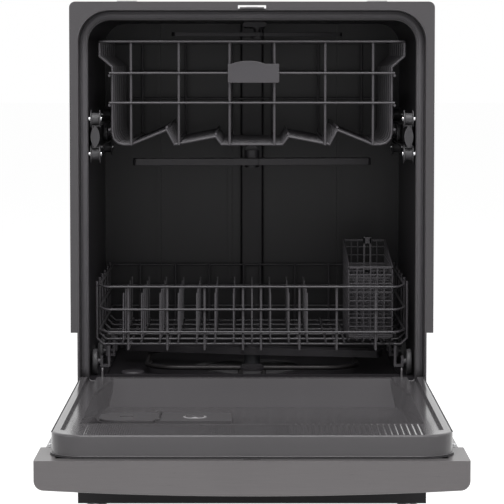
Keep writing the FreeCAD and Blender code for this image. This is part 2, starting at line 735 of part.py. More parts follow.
def make_mid_spray_arm():
    """Arm that hangs under the upper rack."""
    z0 = MID_ARM_TOP - ARM_THICK
    arm = spray_arm(0, LOWER_ARM_Y, z0, ARM_THICK, MID_ARM_REACH, MID_ARM_WIDTH, MID_HUB_RADIUS + FIT)
    arm.rotate(V(0, LOWER_ARM_Y, 0), V(0, 0, 1), MID_ARM_TURN)
    return [arm]


# ---------------------------------------------------------------- sump, filter, pumps


def make_sump():
    """Cup under the tub floor, with spigots for the pumps and the post of the lower arm."""
    outer = SUMP_RADIUS - 2
    inner = outer - SUMP_WALL
    cup = upright(0, SUMP_Y, SUMP_FOOT, FLOOR_UNDER, outer)
    cup = cup.cut(upright(0, SUMP_Y, SUMP_FOOT + SUMP_WALL, FLOOR_UNDER + 1, inner))
    flange = ring(SUMP_RADIUS + 12, inner, 4.0, (0, SUMP_Y, FLOOR_UNDER - 4), (0, 0, 1))
    post = upright(0, LOWER_ARM_Y, SUMP_FOOT, LOWER_ARM_Z - RUN, POST_RADIUS)
    neck = upright(0, LOWER_ARM_Y, LOWER_ARM_Z - RUN, LOWER_ARM_Z + ARM_THICK, POST_NECK)
    left = (-SUMP_RADIUS + 4, PUMP_Y, PUMP_Z)
    right = (SUMP_RADIUS - 4, DRAIN_PUMP_Y, DRAIN_PUMP_Z)
    spigots = rod(left, (-PUMP_X, PUMP_Y, PUMP_Z), PUMP_SPIGOT)
    spigots = spigots.fuse(rod(right, (DRAIN_PUMP_X, DRAIN_PUMP_Y, DRAIN_PUMP_Z), DRAIN_SPIGOT))
    sump = cup.fuse(flange).fuse(spigots).fuse(post).fuse(neck)
    return [sump.removeSplitter()]


def make_filter_screen():
    """Perforated cover over the sump, with a socket for the filter cylinder."""
    above = TUB_FLOOR + 4
    below = TUB_FLOOR - 13
    screen = upright(0, SUMP_Y, TUB_FLOOR - 1.5, TUB_FLOOR + 0.5, SUMP_RADIUS - RUN)
    rim = ring(SUMP_RADIUS + 8, SUMP_RADIUS - 8, 2.5, (0, SUMP_Y, TUB_FLOOR + 0.2), (0, 0, 1))
    socket = upright(0, FILTER_Y, TUB_FLOOR - 12, TUB_FLOOR + 0.5, FILTER_RADIUS + 3)
    screen = screen.fuse(rim).fuse(socket)
    screen = screen.cut(upright(0, FILTER_Y, below, above, FILTER_RADIUS - FILTER_LIP))
    screen = screen.cut(upright(0, LOWER_ARM_Y, below, above, POST_RADIUS + RUN))
    for row in range(-3, 4):
        for column in range(-3, 4):
            x, y = column * SCREEN_PITCH, SUMP_Y + row * SCREEN_PITCH
            on_screen = math.hypot(x, y - SUMP_Y) < SUMP_RADIUS - 16
            off_filter = math.hypot(x, y - FILTER_Y) > FILTER_RADIUS + 8
            off_post = math.hypot(x, y - LOWER_ARM_Y) > POST_RADIUS + 8
            if on_screen and off_filter and off_post:
                screen = screen.cut(upright(x, y, below, above, SCREEN_HOLE))
    return [screen.removeSplitter()]


def make_filter_cylinder():
    """Turn-lock filter: a tube in the sump with a ribbed cap above the screen."""
    cap = upright(0, FILTER_Y, TUB_FLOOR + 0.8, TUB_FLOOR + 6.5, FILTER_RADIUS)
    grip = box(-17, 17, FILTER_Y - 2.5, FILTER_Y + 2.5, TUB_FLOOR + 6, TUB_FLOOR + 12)
    outer = FILTER_RADIUS - FILTER_LIP - FIT
    inner = FILTER_RADIUS - 4
    tube = ring(outer, inner, FILTER_LENGTH, (0, FILTER_Y, TUB_FLOOR + 1 - FILTER_LENGTH), (0, 0, 1))
    return [cap.fuse(grip).fuse(tube).removeSplitter()]


def make_circulation_pump():
    """Motor and volute on the sump's left spigot, with an outlet facing down behind it."""
    face = -PUMP_X - 0.1
    volute = rod((face, PUMP_Y, PUMP_Z), (face - VOLUTE_LENGTH, PUMP_Y, PUMP_Z), VOLUTE_WIDTH)
    motor_end = face - VOLUTE_LENGTH - MOTOR_LENGTH
    motor = rod((face - VOLUTE_LENGTH + 1, PUMP_Y, PUMP_Z), (motor_end, PUMP_Y, PUMP_Z), MOTOR_WIDTH)
    outlet = upright(RISER_X, RISER_Y, PUMP_Z - PUMP_OUTLET_DROP, PUMP_Z + 12, 14)
    bridge = box(face - 22, face - 2, PUMP_Y, RISER_Y, PUMP_Z - 12, PUMP_Z + 12)
    return [volute.fuse(motor).fuse(bridge).fuse(outlet).removeSplitter()]


def make_drain_pump():
    """Drain motor on the sump's right spigot, with its outlet facing back."""
    y, z = DRAIN_PUMP_Y, DRAIN_PUMP_Z
    motor = rod((DRAIN_PUMP_X + 0.1, y, z), (DRAIN_PUMP_X + DRAIN_MOTOR_LENGTH, y, z), DRAIN_MOTOR_WIDTH)
    outlet = rod((DRAIN_OUTLET_X, y + 20, z), (DRAIN_OUTLET_X, DRAIN_OUTLET_Y, z), 20)
    return [motor.fuse(outlet).removeSplitter()]


def make_drain_spigot():
    """Barbed outlet through the rear crossmember, where a drain hose is pushed on."""
    back = BODY_BACK
    start = back - SPIGOT_INSIDE
    length = SPIGOT_INSIDE + SPIGOT_OUTSIDE
    along = V(0, 1, 0)
    stem = Part.makeCylinder(DRAIN_RADIUS - 1.5, length, V(DRAIN_X, start, DRAIN_Z), along)
    barb = Part.makeCylinder(DRAIN_RADIUS, SPIGOT_OUTSIDE, V(DRAIN_X, back, DRAIN_Z), along)
    collar = Part.makeCylinder(DRAIN_RADIUS + 6, 3.0, V(DRAIN_X, back - PLATE - 3, DRAIN_Z), along)
    bore = Part.makeCylinder(DRAIN_BORE, length + 2, V(DRAIN_X, start - 1, DRAIN_Z), along)
    return [stem.fuse(barb).fuse(collar).cut(bore).removeSplitter()]


def make_internal_hoses():
    """Drain hose from pump to outlet, and riser from the circulation pump to the duct."""
    drain = bent_wire(
        [
            (DRAIN_OUTLET_X, DRAIN_OUTLET_Y + SKIM, DRAIN_PUMP_Z),
            (DRAIN_OUTLET_X, DRAIN_PUMP_Y + 130, DRAIN_PUMP_Z),
            (DRAIN_X, DRAIN_PUMP_Y + 210, DRAIN_Z),
            (DRAIN_X, BODY_BACK - SPIGOT_INSIDE - SKIM, DRAIN_Z),
        ],
        22.0,
        40.0,
    )
    low = PUMP_Z - 80
    end = TUB_DEPTH - 60
    riser = bent_wire(
        [
            (RISER_X, RISER_Y, PUMP_Z - PUMP_OUTLET_DROP - SKIM),
            (RISER_X, RISER_Y, low),
            (RISER_X, end, low),
            (RISER_X, end, FLOOR_UNDER - SKIM),
        ],
        24.0,
        30.0,
    )
    return drain + riser


def make_inlet_valve():
    """Fill valve on a bracket behind the toe panel, with a threaded inlet facing down."""
    x, y, z = VALVE_X, VALVE_Y, VALVE_Z
    body = box(x - 20, x + 20, y - 22, y + 22, z, z + VALVE_HEIGHT)
    neck = upright(x, y, z - VALVE_NECK, z, 15.0)
    coil = upright(x, y, z + VALVE_HEIGHT, z + VALVE_HEIGHT + 38, 16.0)
    bracket = box(-FRAME_PLATE_IN, x - 19, y - 15, y + 15, z + 8, z + 8 + PLATE)
    bore = upright(x, y, z - VALVE_NECK - 1, z + 2, INLET_BORE)
    return [body.fuse(neck).fuse(coil).fuse(bracket).cut(bore).removeSplitter()]


def make_junction_box():
    """Steel box where house wiring enters, with a round knockout in its rear face."""
    sheet = BOX_SHEET
    left, back, top = BOX_X - 45, BOX_FRONT + BOX_DEPTH, BOX_Z + BOX_SIZE
    outer = box(left, FRAME_PLATE_IN, BOX_FRONT, back, BOX_Z, top)
    inner = box(
        left + sheet, FRAME_PLATE_IN - sheet, BOX_FRONT + sheet, back - sheet, BOX_Z + sheet, top - sheet
    )
    hole = Part.makeCylinder(KNOCKOUT_RADIUS, 10, V(BOX_X, back - 6, BOX_Z + BOX_SIZE / 2), V(0, 1, 0))
    return [outer.cut(inner).cut(hole)]


def make_heater_element():
    """Round rod looped around the sump, on two feet through the tub floor."""
    z = TUB_FLOOR + HEATER_OVER_FLOOR
    x, y0, y1 = HEATER_HALF, HEATER_FRONT, HEATER_BACK
    foot_x = HEATER_FOOT_X
    path = [(-foot_x, y0, z), (-x, y0, z), (-x, y1, z), (x, y1, z), (x, y0, z), (foot_x, y0, z)]
    loop = bent_wire(path, HEATER_ROD, HEATER_BEND)
    under = z - HEATER_ROD / 2 - FIT
    feet = [upright(side * foot_x, y0, FLOOR_UNDER - 14, under, HEATER_ROD / 2) for side in SIDES]
    middle = (y0 + y1) / 2 + 5
    clips = [box(side * x - 6, side * x + 6, middle - 4, middle + 4, TUB_FLOOR, under) for side in SIDES]
    return loop + feet + clips


def make_float_stem():
    """Guide tube through the tub floor with the overfill switch under it."""
    x, y = FLOAT_X, FLOAT_Y
    tube = ring(FLOAT_TUBE, FLOAT_ROD, 16.0, (x, y, TUB_FLOOR - 6), (0, 0, 1))
    switch = box(x - 14, x + 14, y - 9, y + 9, FLOOR_UNDER - 22, FLOOR_UNDER)
    switch = switch.cut(upright(x, y, FLOOR_UNDER - 14, FLOOR_UNDER + 1, FLOAT_ROD))
    return [tube.fuse(switch).removeSplitter()]


def make_float():
    """Dome that rises with the water, on a stem in the guide tube."""
    x, y = FLOAT_X, FLOAT_Y
    z0 = TUB_FLOOR + 1.0
    cup = upright(x, y, z0, z0 + FLOAT_HEIGHT, FLOAT_RADIUS)
    cup = cup.cut(upright(x, y, z0 - 1, z0 + FLOAT_HEIGHT - 3, FLOAT_RADIUS - 2.5))
    cup = cup.makeFillet(4.0, [e for e in cup.Edges if abs(e.BoundBox.ZMin - z0 - FLOAT_HEIGHT) < 1e-6])
    stem = upright(x, y, FLOOR_UNDER - 12, z0 + FLOAT_HEIGHT - 2, FLOAT_ROD - FIT)
    return [cup.fuse(stem).removeSplitter()]


# ---------------------------------------------------------------- base
def screw_hole(x, y, z, radius):
    """A cutting tool along Y for a hole through sheet that starts at y."""
    return Part.makeCylinder(radius, 12, V(x, y - 4, z), V(0, 1, 0))


def frame_side(side):
    """One side of the frame: its plates, the hinge nose, the foot shelves and the tub's ledger."""
    pieces = []
    inner, outer = FRAME_PLATE_IN, FRAME_PLATE_OUT
    kick_back = KICK_Y + KICK_SHEET
    eye_foot = HINGE_Z - HINGE_EYE
    pieces.append(side_box(side, inner, outer, kick_back, BODY_BACK - PLATE, FRAME_FOOT, FRAME_HEAD))
    pieces.append(side_box(side, inner, outer, FRAME_FRONT, kick_back, KICK_TOP + 4, eye_foot))
    nose = side_box(side, inner, outer, HINGE_Y, kick_back, eye_foot, FRAME_HEAD)
    nose = nose.fuse(cross_pin(side, inner, outer, HINGE_Y, HINGE_Z, HINGE_EYE))
    bore = cross_pin(side, inner - 1, outer + 1, HINGE_Y, HINGE_Z, HINGE_PIN_RADIUS)
    pieces.append(nose.cut(bore).removeSplitter())
    for y in FOOT_PLACES:
        shelf = side_box(side, FOOT_X - 20, inner, y - 18, y + 18, FRAME_FOOT + 3, FRAME_FOOT + 6)
        pieces.append(shelf.cut(upright(side * FOOT_X, y, FRAME_FOOT, FRAME_FOOT + 9, FOOT_STEM)))
    start, end = FRAME_FRONT + 30, BODY_BACK - 40
    reach = TUB_OUTER - LEDGER_WIDTH
    ledger = side_box(side, reach, TUB_OUTER, start, end, FLOOR_UNDER - PLATE, FLOOR_UNDER)
    web = side_box(side, reach, reach + PLATE, start, end, FRAME_HEAD, FLOOR_UNDER - PLATE)
    cap = side_box(side, reach, outer, start, end, FRAME_HEAD, FRAME_HEAD + PLATE)
    pieces.append(web.fuse(ledger).fuse(cap).removeSplitter())
    return pieces


def make_base_frame():
    """Both sides with their hinge noses, a front crossmember, and a rear one with a wiring notch."""
    pieces = frame_side(-1.0) + frame_side(1.0)
    half = FRAME_PLATE_IN
    front = KICK_Y + KICK_SHEET
    rail = box(-half, half, front, front + PLATE, FRAME_RAIL_FOOT, FRAME_RAIL_HEAD)
    for side in SIDES:
        rail = rail.cut(screw_hole(side * KICK_SCREW_X, front, KICK_SCREW_Z, KICK_SCREW + 0.1))
    pieces.append(rail)
    back = BODY_BACK - PLATE
    seam = BOX_Z + BOX_SIZE / 2 + WIRING_NOTCH
    left, right = BOX_X - WIRING_NOTCH, BOX_X + WIRING_NOTCH
    rear = [
        box(-FRAME_PLATE_OUT, FRAME_PLATE_OUT, back, BODY_BACK, seam, FRAME_HEAD),
        box(-FRAME_PLATE_OUT, left, back, BODY_BACK, FRAME_FOOT, seam),
        box(right, FRAME_PLATE_OUT, back, BODY_BACK, FRAME_FOOT, seam),
    ]
    drain = screw_hole(DRAIN_X, back, DRAIN_Z, DRAIN_RADIUS)
    return pieces + [plate.cut(drain) for plate in rear]


def make_toe_kick():
    """Painted sheet below the door, set back from the flange."""
    sheet = box(-KICK_HALF, KICK_HALF, KICK_Y, KICK_Y + KICK_SHEET, KICK_FOOT, KICK_TOP)
    for side in SIDES:
        sheet = sheet.cut(screw_hole(side * KICK_SCREW_X, KICK_Y, KICK_SCREW_Z, KICK_SCREW + 0.1))
    return [sheet]


def make_toe_kick_screws():
    """Screws that hold the toe panel to the front crossmember."""
    screws = []
    for side in SIDES:
        x = side * KICK_SCREW_X
        head = Part.makeCylinder(5.0, 2.5, V(x, KICK_Y - 2.5, KICK_SCREW_Z), V(0, 1, 0))
        shank = Part.makeCylinder(KICK_SCREW, 10, V(x, KICK_Y - 1, KICK_SCREW_Z), V(0, 1, 0))
        screws.append(head.fuse(shank).removeSplitter())
    return screws


def make_levelling_feet():
    """A pad, a stem and a lock nut at each corner of the frame."""
    feet = []
    for side in SIDES:
        for y in FOOT_PLACES:
            x = side * FOOT_X
            pad = upright(x, y, 0, 8, FOOT_PAD)
            stem = upright(x, y, 7, FRAME_FOOT + 28, FOOT_STEM - FIT)
            nut = upright(x, y, FRAME_FOOT - 4, FRAME_FOOT + 3, 9.0)
            feet.append(pad.fuse(stem).fuse(nut).removeSplitter())
    return feet


def make_mounting_brackets():
    """Two steel tabs on top of the tub flange that screw up into the counter."""
    tabs = []
    top = BODY_TOP + BRACKET_SHEET
    for side in SIDES:
        x0, x1 = side * BRACKET_X - BRACKET_HALF, side * BRACKET_X + BRACKET_HALF
        tab = box(x0, x1, 4.0, 48.0, BODY_TOP, top)
        leg_front = LEDGE_DEPTH + 4
        leg = box(x0, x1, leg_front, leg_front + BRACKET_SHEET, MOUTH_TOP + TUB_WALL, BODY_TOP)
        hole = upright(side * BRACKET_X, BRACKET_HOLE_Y, BODY_TOP - 1, top + 1, BRACKET_HOLE_RADIUS)
        tabs.append(tab.fuse(leg).cut(hole).removeSplitter())
    return tabs


def make_hinge_pins():
    """A pin on each side, riveted in the frame, with a spacer that keeps the arm off the plate."""
    pins = []
    y, z = HINGE_Y, HINGE_Z
    for side in SIDES:
        shank = cross_pin(side, FRAME_PLATE_IN - 1.5, ARM_OUT + 1.5, y, z, HINGE_PIN_RADIUS)
        head = cross_pin(side, ARM_OUT + RUN, ARM_OUT + 1.8, y, z, HINGE_PIN_HEAD)
        rivet = cross_pin(side, FRAME_PLATE_IN - 1.8, FRAME_PLATE_IN, y, z, HINGE_PIN_HEAD - 0.5)
        spacer = cross_pin(side, FRAME_PLATE_OUT, ARM_IN - RUN, y, z, HINGE_PIN_HEAD)
        pins.append(shank.fuse(head).fuse(rivet).fuse(spacer).removeSplitter())
    return pins


def make_door_springs():
    """Tension springs beside the frame that balance the door, as plain rods of the coil's size."""
    springs = []
    for side in SIDES:
        x = side * (FRAME_PLATE_OUT + 4.5)
        springs.append(rod((x, HINGE_Y + 50, HINGE_Z - 3), (x, SPRING_END_Y, SPRING_END_Z), SPRING_WIDTH))
    return springs


# ---------------------------------------------------------------- door
def console_front(x):
    """How far forward the bowed front of the console lies at a distance x from the middle."""
    half = CONSOLE_WIDTH / 2
    radius = (half**2 + CONSOLE_BOW**2) / (2 * CONSOLE_BOW)
    return DOOR_FRONT - CONSOLE_BOW + radius - math.sqrt(radius**2 - x**2)


def make_door_outer_panel():
    """Sheet-steel skin with wrapped sides and a hem along its foot."""
    half = DOOR_WIDTH / 2
    top = CONSOLE_FOOT - SEAM
    outer = box(-half, half, DOOR_FRONT, PANEL_BACK, DOOR_FOOT, top)
    front_edges = [e for e in edges_along(outer, (0, 0, 1)) if e.CenterOfMass.y < DOOR_FRONT + 1]
    outer = outer.makeFillet(3.0, front_edges)
    inner = box(-half + STEEL, half - STEEL, DOOR_FRONT + STEEL, PANEL_BACK + 1, DOOR_FOOT - 1, top + 1)
    inner = inner.makeFillet(
        2.0, [e for e in edges_along(inner, (0, 0, 1)) if e.CenterOfMass.y < DOOR_FRONT + 2]
    )
    sheet = outer.cut(inner)
    reach = FRAME_PLATE_IN - 2
    hem = box(-reach, reach, DOOR_FRONT + STEEL, -20.0, DOOR_FOOT, DOOR_FOOT + STEEL)
    return [sheet.fuse(hem).removeSplitter()]


def console_block():
    """The console's outer form: a bowed front with rounded upright edges and a rounded brow."""
    half = CONSOLE_WIDTH / 2
    left, right = V(-half, DOOR_FRONT, CONSOLE_FOOT), V(half, DOOR_FRONT, CONSOLE_FOOT)
    middle = V(0, DOOR_FRONT - CONSOLE_BOW, CONSOLE_FOOT)
    back_left, back_right = V(-half, DOOR_BACK, CONSOLE_FOOT), V(half, DOOR_BACK, CONSOLE_FOOT)
    outline = [
        Part.Arc(left, middle, right).toShape(),
        Part.LineSegment(right, back_right).toShape(),
        Part.LineSegment(back_right, back_left).toShape(),
        Part.LineSegment(back_left, left).toShape(),
    ]
    block = Part.Face(Part.Wire(outline)).extrude(V(0, 0, CONSOLE_HEIGHT))
    corners = [e for e in edges_along(block, (0, 0, 1)) if e.CenterOfMass.y < DOOR_FRONT + 1]
    block = block.makeFillet(CONSOLE_CORNER, corners)
    brow = []
    for edge in block.Edges:
        bounds = edge.BoundBox
        on_top = bounds.ZMin > DOOR_HEAD - 0.01
        if on_top and bounds.YMin < DOOR_FRONT + CONSOLE_CORNER + 1 and bounds.YMax < DOOR_BACK - 1:
            brow.append(edge)
    return block.makeFillet(4.0, brow)


def make_door_console():
    """Hollow console with a hand pocket, a slot for the strike, button holes and a window."""
    half = CONSOLE_WIDTH / 2 - 12
    hollow_foot, hollow_top = POCKET_HIGH + 4, DOOR_HEAD - 7
    behind = DOOR_BACK + 1
    console = console_block()
    tools = [
        box(-half, half, CONSOLE_INSIDE, PANEL_BACK, hollow_foot, hollow_top),
        box(-LINER_HALF + 8, LINER_HALF - 8, PANEL_BACK - 1, behind, hollow_foot, LINER_HEAD - 4),
        box(-half, half, CONSOLE_INSIDE + 16, behind, CONSOLE_FOOT - 1, POCKET_LOW - 3),
        box(-POCKET_HALF, POCKET_HALF, DOOR_FRONT - 20, DOOR_FRONT + POCKET_DEPTH, POCKET_LOW, POCKET_HIGH),
        box(-12, 12, PANEL_BACK - 1, behind, STRIKE_Z - 3, STRIKE_Z + 5),
    ]
    low, high = BUTTON_Z - WINDOW_HALF, BUTTON_Z + WINDOW_HALF
    tools.append(box(WINDOW_LEFT, WINDOW_RIGHT, DOOR_FRONT - 20, CONSOLE_INSIDE + 1, low, high))
    for x in BUTTON_PLACES:
        tools.append(
            Part.makeCylinder(BUTTON_RADIUS + RUN, 40, V(x, DOOR_FRONT - 20, BUTTON_Z), V(0, 1, 0))
        )
    for tool in tools:
        console = console.cut(tool)
    return [console.removeSplitter()]


def make_display_window():
    """Smoked window that fills its opening in the console."""
    front = console_front(WINDOW_RIGHT) + 0.6
    half = WINDOW_HALF - SKIM
    return [
        box(
            WINDOW_LEFT + SKIM, WINDOW_RIGHT - SKIM, front, CONSOLE_INSIDE, BUTTON_Z - half, BUTTON_Z + half
        ),
    ]


def make_button(x):
    """Round push button with a stop behind the console's skin."""
    front = console_front(x) - BUTTON_PROUD
    back = CONSOLE_INSIDE + RUN
    cap = Part.makeCylinder(BUTTON_RADIUS, back - front, V(x, front, BUTTON_Z), V(0, 1, 0))
    cap = cap.makeFillet(1.2, [e for e in cap.Edges if e.BoundBox.YMax < front + 0.01])
    stop = Part.makeCylinder(BUTTON_RADIUS + 2, 1.5, V(x, back, BUTTON_Z), V(0, 1, 0))
    return [cap.fuse(stop).removeSplitter()]


def make_control_board():
    """Circuit board behind the console, with a relay and the switch bodies, on its posts."""
    half = BOARD_HALF
    board = box(-half, half, BOARD_FRONT, BOARD_FRONT + 1.6, BUTTON_Z - 26, BUTTON_Z + 10)
    relay = box(165, 195, BOARD_FRONT - 8, BOARD_FRONT, BUTTON_Z - 20, BUTTON_Z + 4)
    board = board.fuse(relay)
    for x in BUTTON_PLACES:
        board = board.fuse(box(x - 4, x + 4, BOARD_FRONT - 5, BOARD_FRONT, BUTTON_Z - 4, BUTTON_Z + 4))
    for side in SIDES:
        foot = V(side * (half - 7), CONSOLE_INSIDE, BUTTON_Z - 20)
        board = board.fuse(Part.makeCylinder(3.0, BOARD_FRONT - CONSOLE_INSIDE, foot, V(0, 1, 0)))
    return [board.removeSplitter()]


def make_latch_housing():
    """Open steel tray behind the strike slot that carries the latch hook's shaft."""
    tray = box(-22, 22, -36.5, PANEL_BACK, LATCH_Z - 10, DOOR_HEAD - 7)
    tray = tray.cut(box(-19.5, 19.5, -34, PANEL_BACK + 1, LATCH_Z - 8, DOOR_HEAD - 6))
    bore = Part.makeCylinder(LATCH_SHAFT + FIT, 60, V(-30, LATCH_Y, LATCH_Z), V(1, 0, 0))
    return [tray.cut(bore)]


def make_latch_hook():
    """Claw that rises through the strike's loop when it turns."""
    half = 4.0
    tip = STRIKE_Z - 4.2
    outline = [
        (-half, LATCH_Y - 5, LATCH_Z - 4),
        (-half, LATCH_Y + 6, LATCH_Z - 4),
        (-half, -8.5, tip - 4),
        (-half, -8.5, tip),
        (-half, -13.5, tip),
        (-half, LATCH_Y - 3, LATCH_Z + 5),
    ]
    claw = prism(outline, (2 * half, 0, 0))
    shaft = Part.makeCylinder(LATCH_SHAFT, 43.6, V(-21.8, LATCH_Y, LATCH_Z), V(1, 0, 0))
    hub = Part.makeCylinder(6.0, 2 * half, V(-half, LATCH_Y, LATCH_Z), V(1, 0, 0))
    return [claw.fuse(shaft).fuse(hub).removeSplitter()]


def basin(grow):
    """The hollow in the liner's face, grown by a wall on every side but its open one."""
    half = BASIN_HALF + grow
    outline = [
        (-half, LINER_DEPTH + 1, BASIN_RAMP_RIM - 1.2 * grow),
        (-half, BASIN_FLOOR - grow, BASIN_RAMP_FLOOR - 0.3 * grow),
        (-half, BASIN_FLOOR - grow, BASIN_TOP_FLOOR + grow),
        (-half, LINER_DEPTH + 1, BASIN_TOP_RIM + 1.2 * grow),
    ]
    return prism(outline, (2 * half, 0, 0))


def wheel_groove(side, grow):
    """Groove that the lower rack's wheels roll in when the door is open, grown by a wall."""
    inner, outer = GROOVE_IN - grow, TUB_HALF + grow
    foot = LINER_FOOT - 1 - grow
    return side_box(side, inner, outer, GROOVE_FLOOR - grow, LINER_DEPTH + 1, foot, GROOVE_END + grow)


def make_door_liner():
    """Moulded inner panel: a shell with a rim, a sunk basin and a wheel groove on each side."""
    back = PANEL_BACK
    wall = LINER_WALL
    block = arch(LINER_HALF, LINER_FOOT, LINER_HEAD, LINER_CORNER, back, LINER_DEPTH)
    inset = arch(
        LINER_HALF - wall,
        LINER_FOOT + wall,
        LINER_HEAD - wall,
        LINER_CORNER - wall,
        back - 1,
        LINER_DEPTH - wall,
    )
    grown = basin(wall)
    for side in SIDES:
        grown = grown.fuse(wheel_groove(side, wall))
    within = box(-LINER_HALF, LINER_HALF, -30, LINER_DEPTH, LINER_FOOT, LINER_HEAD - LINER_CORNER)
    flange = box(
        -DOOR_WIDTH / 2 + 1.5, DOOR_WIDTH / 2 - 1.5, back, DOOR_BACK, FRAME_HEAD + 6, CONSOLE_FOOT - SEAM
    )
    liner = block.fuse(flange).cut(inset.cut(grown)).fuse(grown.common(within)).cut(basin(0.0))
    for side in SIDES:
        liner = liner.cut(wheel_groove(side, 0.0))
    liner = liner.cut(
        box(-LINER_HALF - 1, LINER_HALF + 1, back - 1, DOOR_BACK, CONSOLE_FOOT - SEAM, LINER_HEAD + 1)
    )
    hole = box(
        DISPENSER_LEFT, DISPENSER_RIGHT, BASIN_FLOOR - 10, BASIN_FLOOR + 10, DISPENSER_LOW, DISPENSER_HIGH
    )
    return [liner.cut(hole).removeSplitter()]


def dispenser_cylinder(radius, x, start, length, z):
    """A cylinder along Y in the dispenser."""
    return Part.makeCylinder(radius, length, V(x, start, z), V(0, 1, 0))


def make_dispenser_body():
    """Moulded dispenser with a detergent cup, a rinse-aid port and lugs for the lid's pin."""
    low, high = DISPENSER_LOW + RUN, DISPENSER_HIGH - RUN
    left, right = DISPENSER_LEFT + RUN, DISPENSER_RIGHT - RUN
    body = box(left, right, -DISPENSER_DEPTH, 0, low, high)
    body = body.makeFillet(30.0, [e for e in edges_along(body, (0, 1, 0)) if e.CenterOfMass.x < left + 1])
    cup = box(left + 12, DISPENSER_SPLIT - 6, -DISPENSER_DEPTH + 3, 1, low + 9, high - 9)
    body = body.cut(rounded(cup, 12.0, (0, 1, 0)))
    start = LID_PIN_X + 5
    for z0, z1 in ((low, DISPENSER_LOW + LUG), (DISPENSER_HIGH - LUG, high)):
        body = body.fuse(box(LID_PIN_X - LUG_REACH, start, 0, LID_PIN_Y + 3.0, z0, z1))
    body = body.fuse(box(start, right, 0, 3.0, low, high))
    body = body.cut(dispenser_cylinder(CAP_RADIUS + RUN, CAP_X, -7.0, 12.0, DISPENSER_MIDDLE))
    pin = upright(LID_PIN_X, LID_PIN_Y, low - 5, high + 5, LID_PIN + FIT)
    return [body.cut(pin).removeSplitter()]


def make_detergent_lid():
    """Hinged lid over the detergent cup, turning on a pin at its right edge."""
    z0, z1 = DISPENSER_LOW + LID_MARGIN, DISPENSER_HIGH - LID_MARGIN
    face = LID_BACK + LID_THICK
    lid = box(DISPENSER_LEFT + LID_MARGIN, LID_PIN_X - LID_EDGE, LID_BACK, face, z0, z1)
    left = [e for e in edges_along(lid, (0, 1, 0)) if e.CenterOfMass.x < DISPENSER_LEFT + 9]
    lid = lid.makeFillet(28.0, left)
    low, high = DISPENSER_LOW + LUG + RUN, DISPENSER_HIGH - LUG - RUN
    barrel = upright(LID_PIN_X, LID_PIN_Y, low, high, LID_PIN + 1.2)
    web = box(LID_PIN_X - LID_EDGE - 1, LID_PIN_X, LID_BACK + 0.4, face, low, high)
    pin = upright(LID_PIN_X, LID_PIN_Y, z0 - 2, z1 + 2, LID_PIN)
    tab_left = DISPENSER_LEFT + 34
    tab = box(tab_left, tab_left + 20, face, face + 2.0, DISPENSER_MIDDLE - 7, DISPENSER_MIDDLE + 7)
    return [lid.fuse(web).fuse(barrel).fuse(pin).fuse(tab).removeSplitter()]


def make_rinse_aid_cap():
    """Round cap in the rinse-aid port, with a grip across it."""
    cap = dispenser_cylinder(CAP_RADIUS, CAP_X, -6.7, 9.5, DISPENSER_MIDDLE)
    grip = box(CAP_X - 14, CAP_X + 14, 2.5, 6.0, DISPENSER_MIDDLE - 2.5, DISPENSER_MIDDLE + 2.5)
    return [cap.fuse(grip).removeSplitter()]


def make_hinge_arms():
    """Flat arms inside the door's sides, each turning on a hinge pin, with a tail for the spring."""
    arms = []
    bend = FRAME_HEAD + 24
    for side in SIDES:
        arm = side_box(side, ARM_IN, ARM_OUT, HINGE_Y - 10, PANEL_BACK, bend, ARM_HEAD)
        arm = arm.fuse(side_box(side, ARM_IN, ARM_OUT, HINGE_Y - 10, HINGE_Y + 10, HINGE_Z, bend + 1))
        arm = arm.fuse(cross_pin(side, ARM_IN, ARM_OUT, HINGE_Y, HINGE_Z, ARM_EYE))
        arm = arm.fuse(
            side_box(side, ARM_IN, ARM_OUT, HINGE_Y - 6, HINGE_Y + 6, HINGE_Z - ARM_TAIL, HINGE_Z)
        )
        bore = cross_pin(side, ARM_IN - 1, ARM_OUT + 1, HINGE_Y, HINGE_Z, HINGE_PIN_RADIUS + FIT)
        arms.append(arm.cut(bore).removeSplitter())
    return arms


def make_liner_screws():
    """Screws through the liner's flange along both sides of the door."""
    screws = []
    for side in SIDES:
        for z in LINER_SCREWS:
            screws.append(Part.makeCylinder(4.0, 2.0, V(side * (LINER_HALF + 7), DOOR_BACK, z), V(0, 1, 0)))
    return screws


# ---------------------------------------------------------------- upper rack, rails and rollers
def make_upper_rails():
    """A channel each side, open towards the rack, with a lens-shaped cap on its front end."""
    pieces = []
    half_height = (RAIL_TOP - RAIL_BOTTOM) / 2
    half_width = RAIL_CAP_WIDTH / 2
    radius = (half_height**2 + half_width**2) / (2 * half_width)
    for side in SIDES:
        start = RAIL_FRONT + RAIL_CAP_LENGTH
        rail = side_box(side, RAIL_INNER, RAIL_OUTER, start, RAIL_BACK, RAIL_BOTTOM, RAIL_TOP)
        bay = side_box(
            side,
            RAIL_INNER - 1,
            RAIL_OUTER - RAIL_SHEET,
            start - 1,
            RAIL_BACK + 1,
            RAIL_BOTTOM + RAIL_SHEET,
            RAIL_TOP - RAIL_SHEET,
        )
        pieces.append(rail.cut(bay))
        middle = side * (RAIL_INNER + RAIL_OUTER) / 2
        sides = [
            Part.makeCylinder(radius, RAIL_CAP_LENGTH, V(x, RAIL_FRONT, RAIL_MIDDLE), V(0, 1, 0))
            for x in (middle - radius + half_width, middle + radius - half_width)
        ]
        pieces.append(sides[0].common(sides[1]))
    return pieces


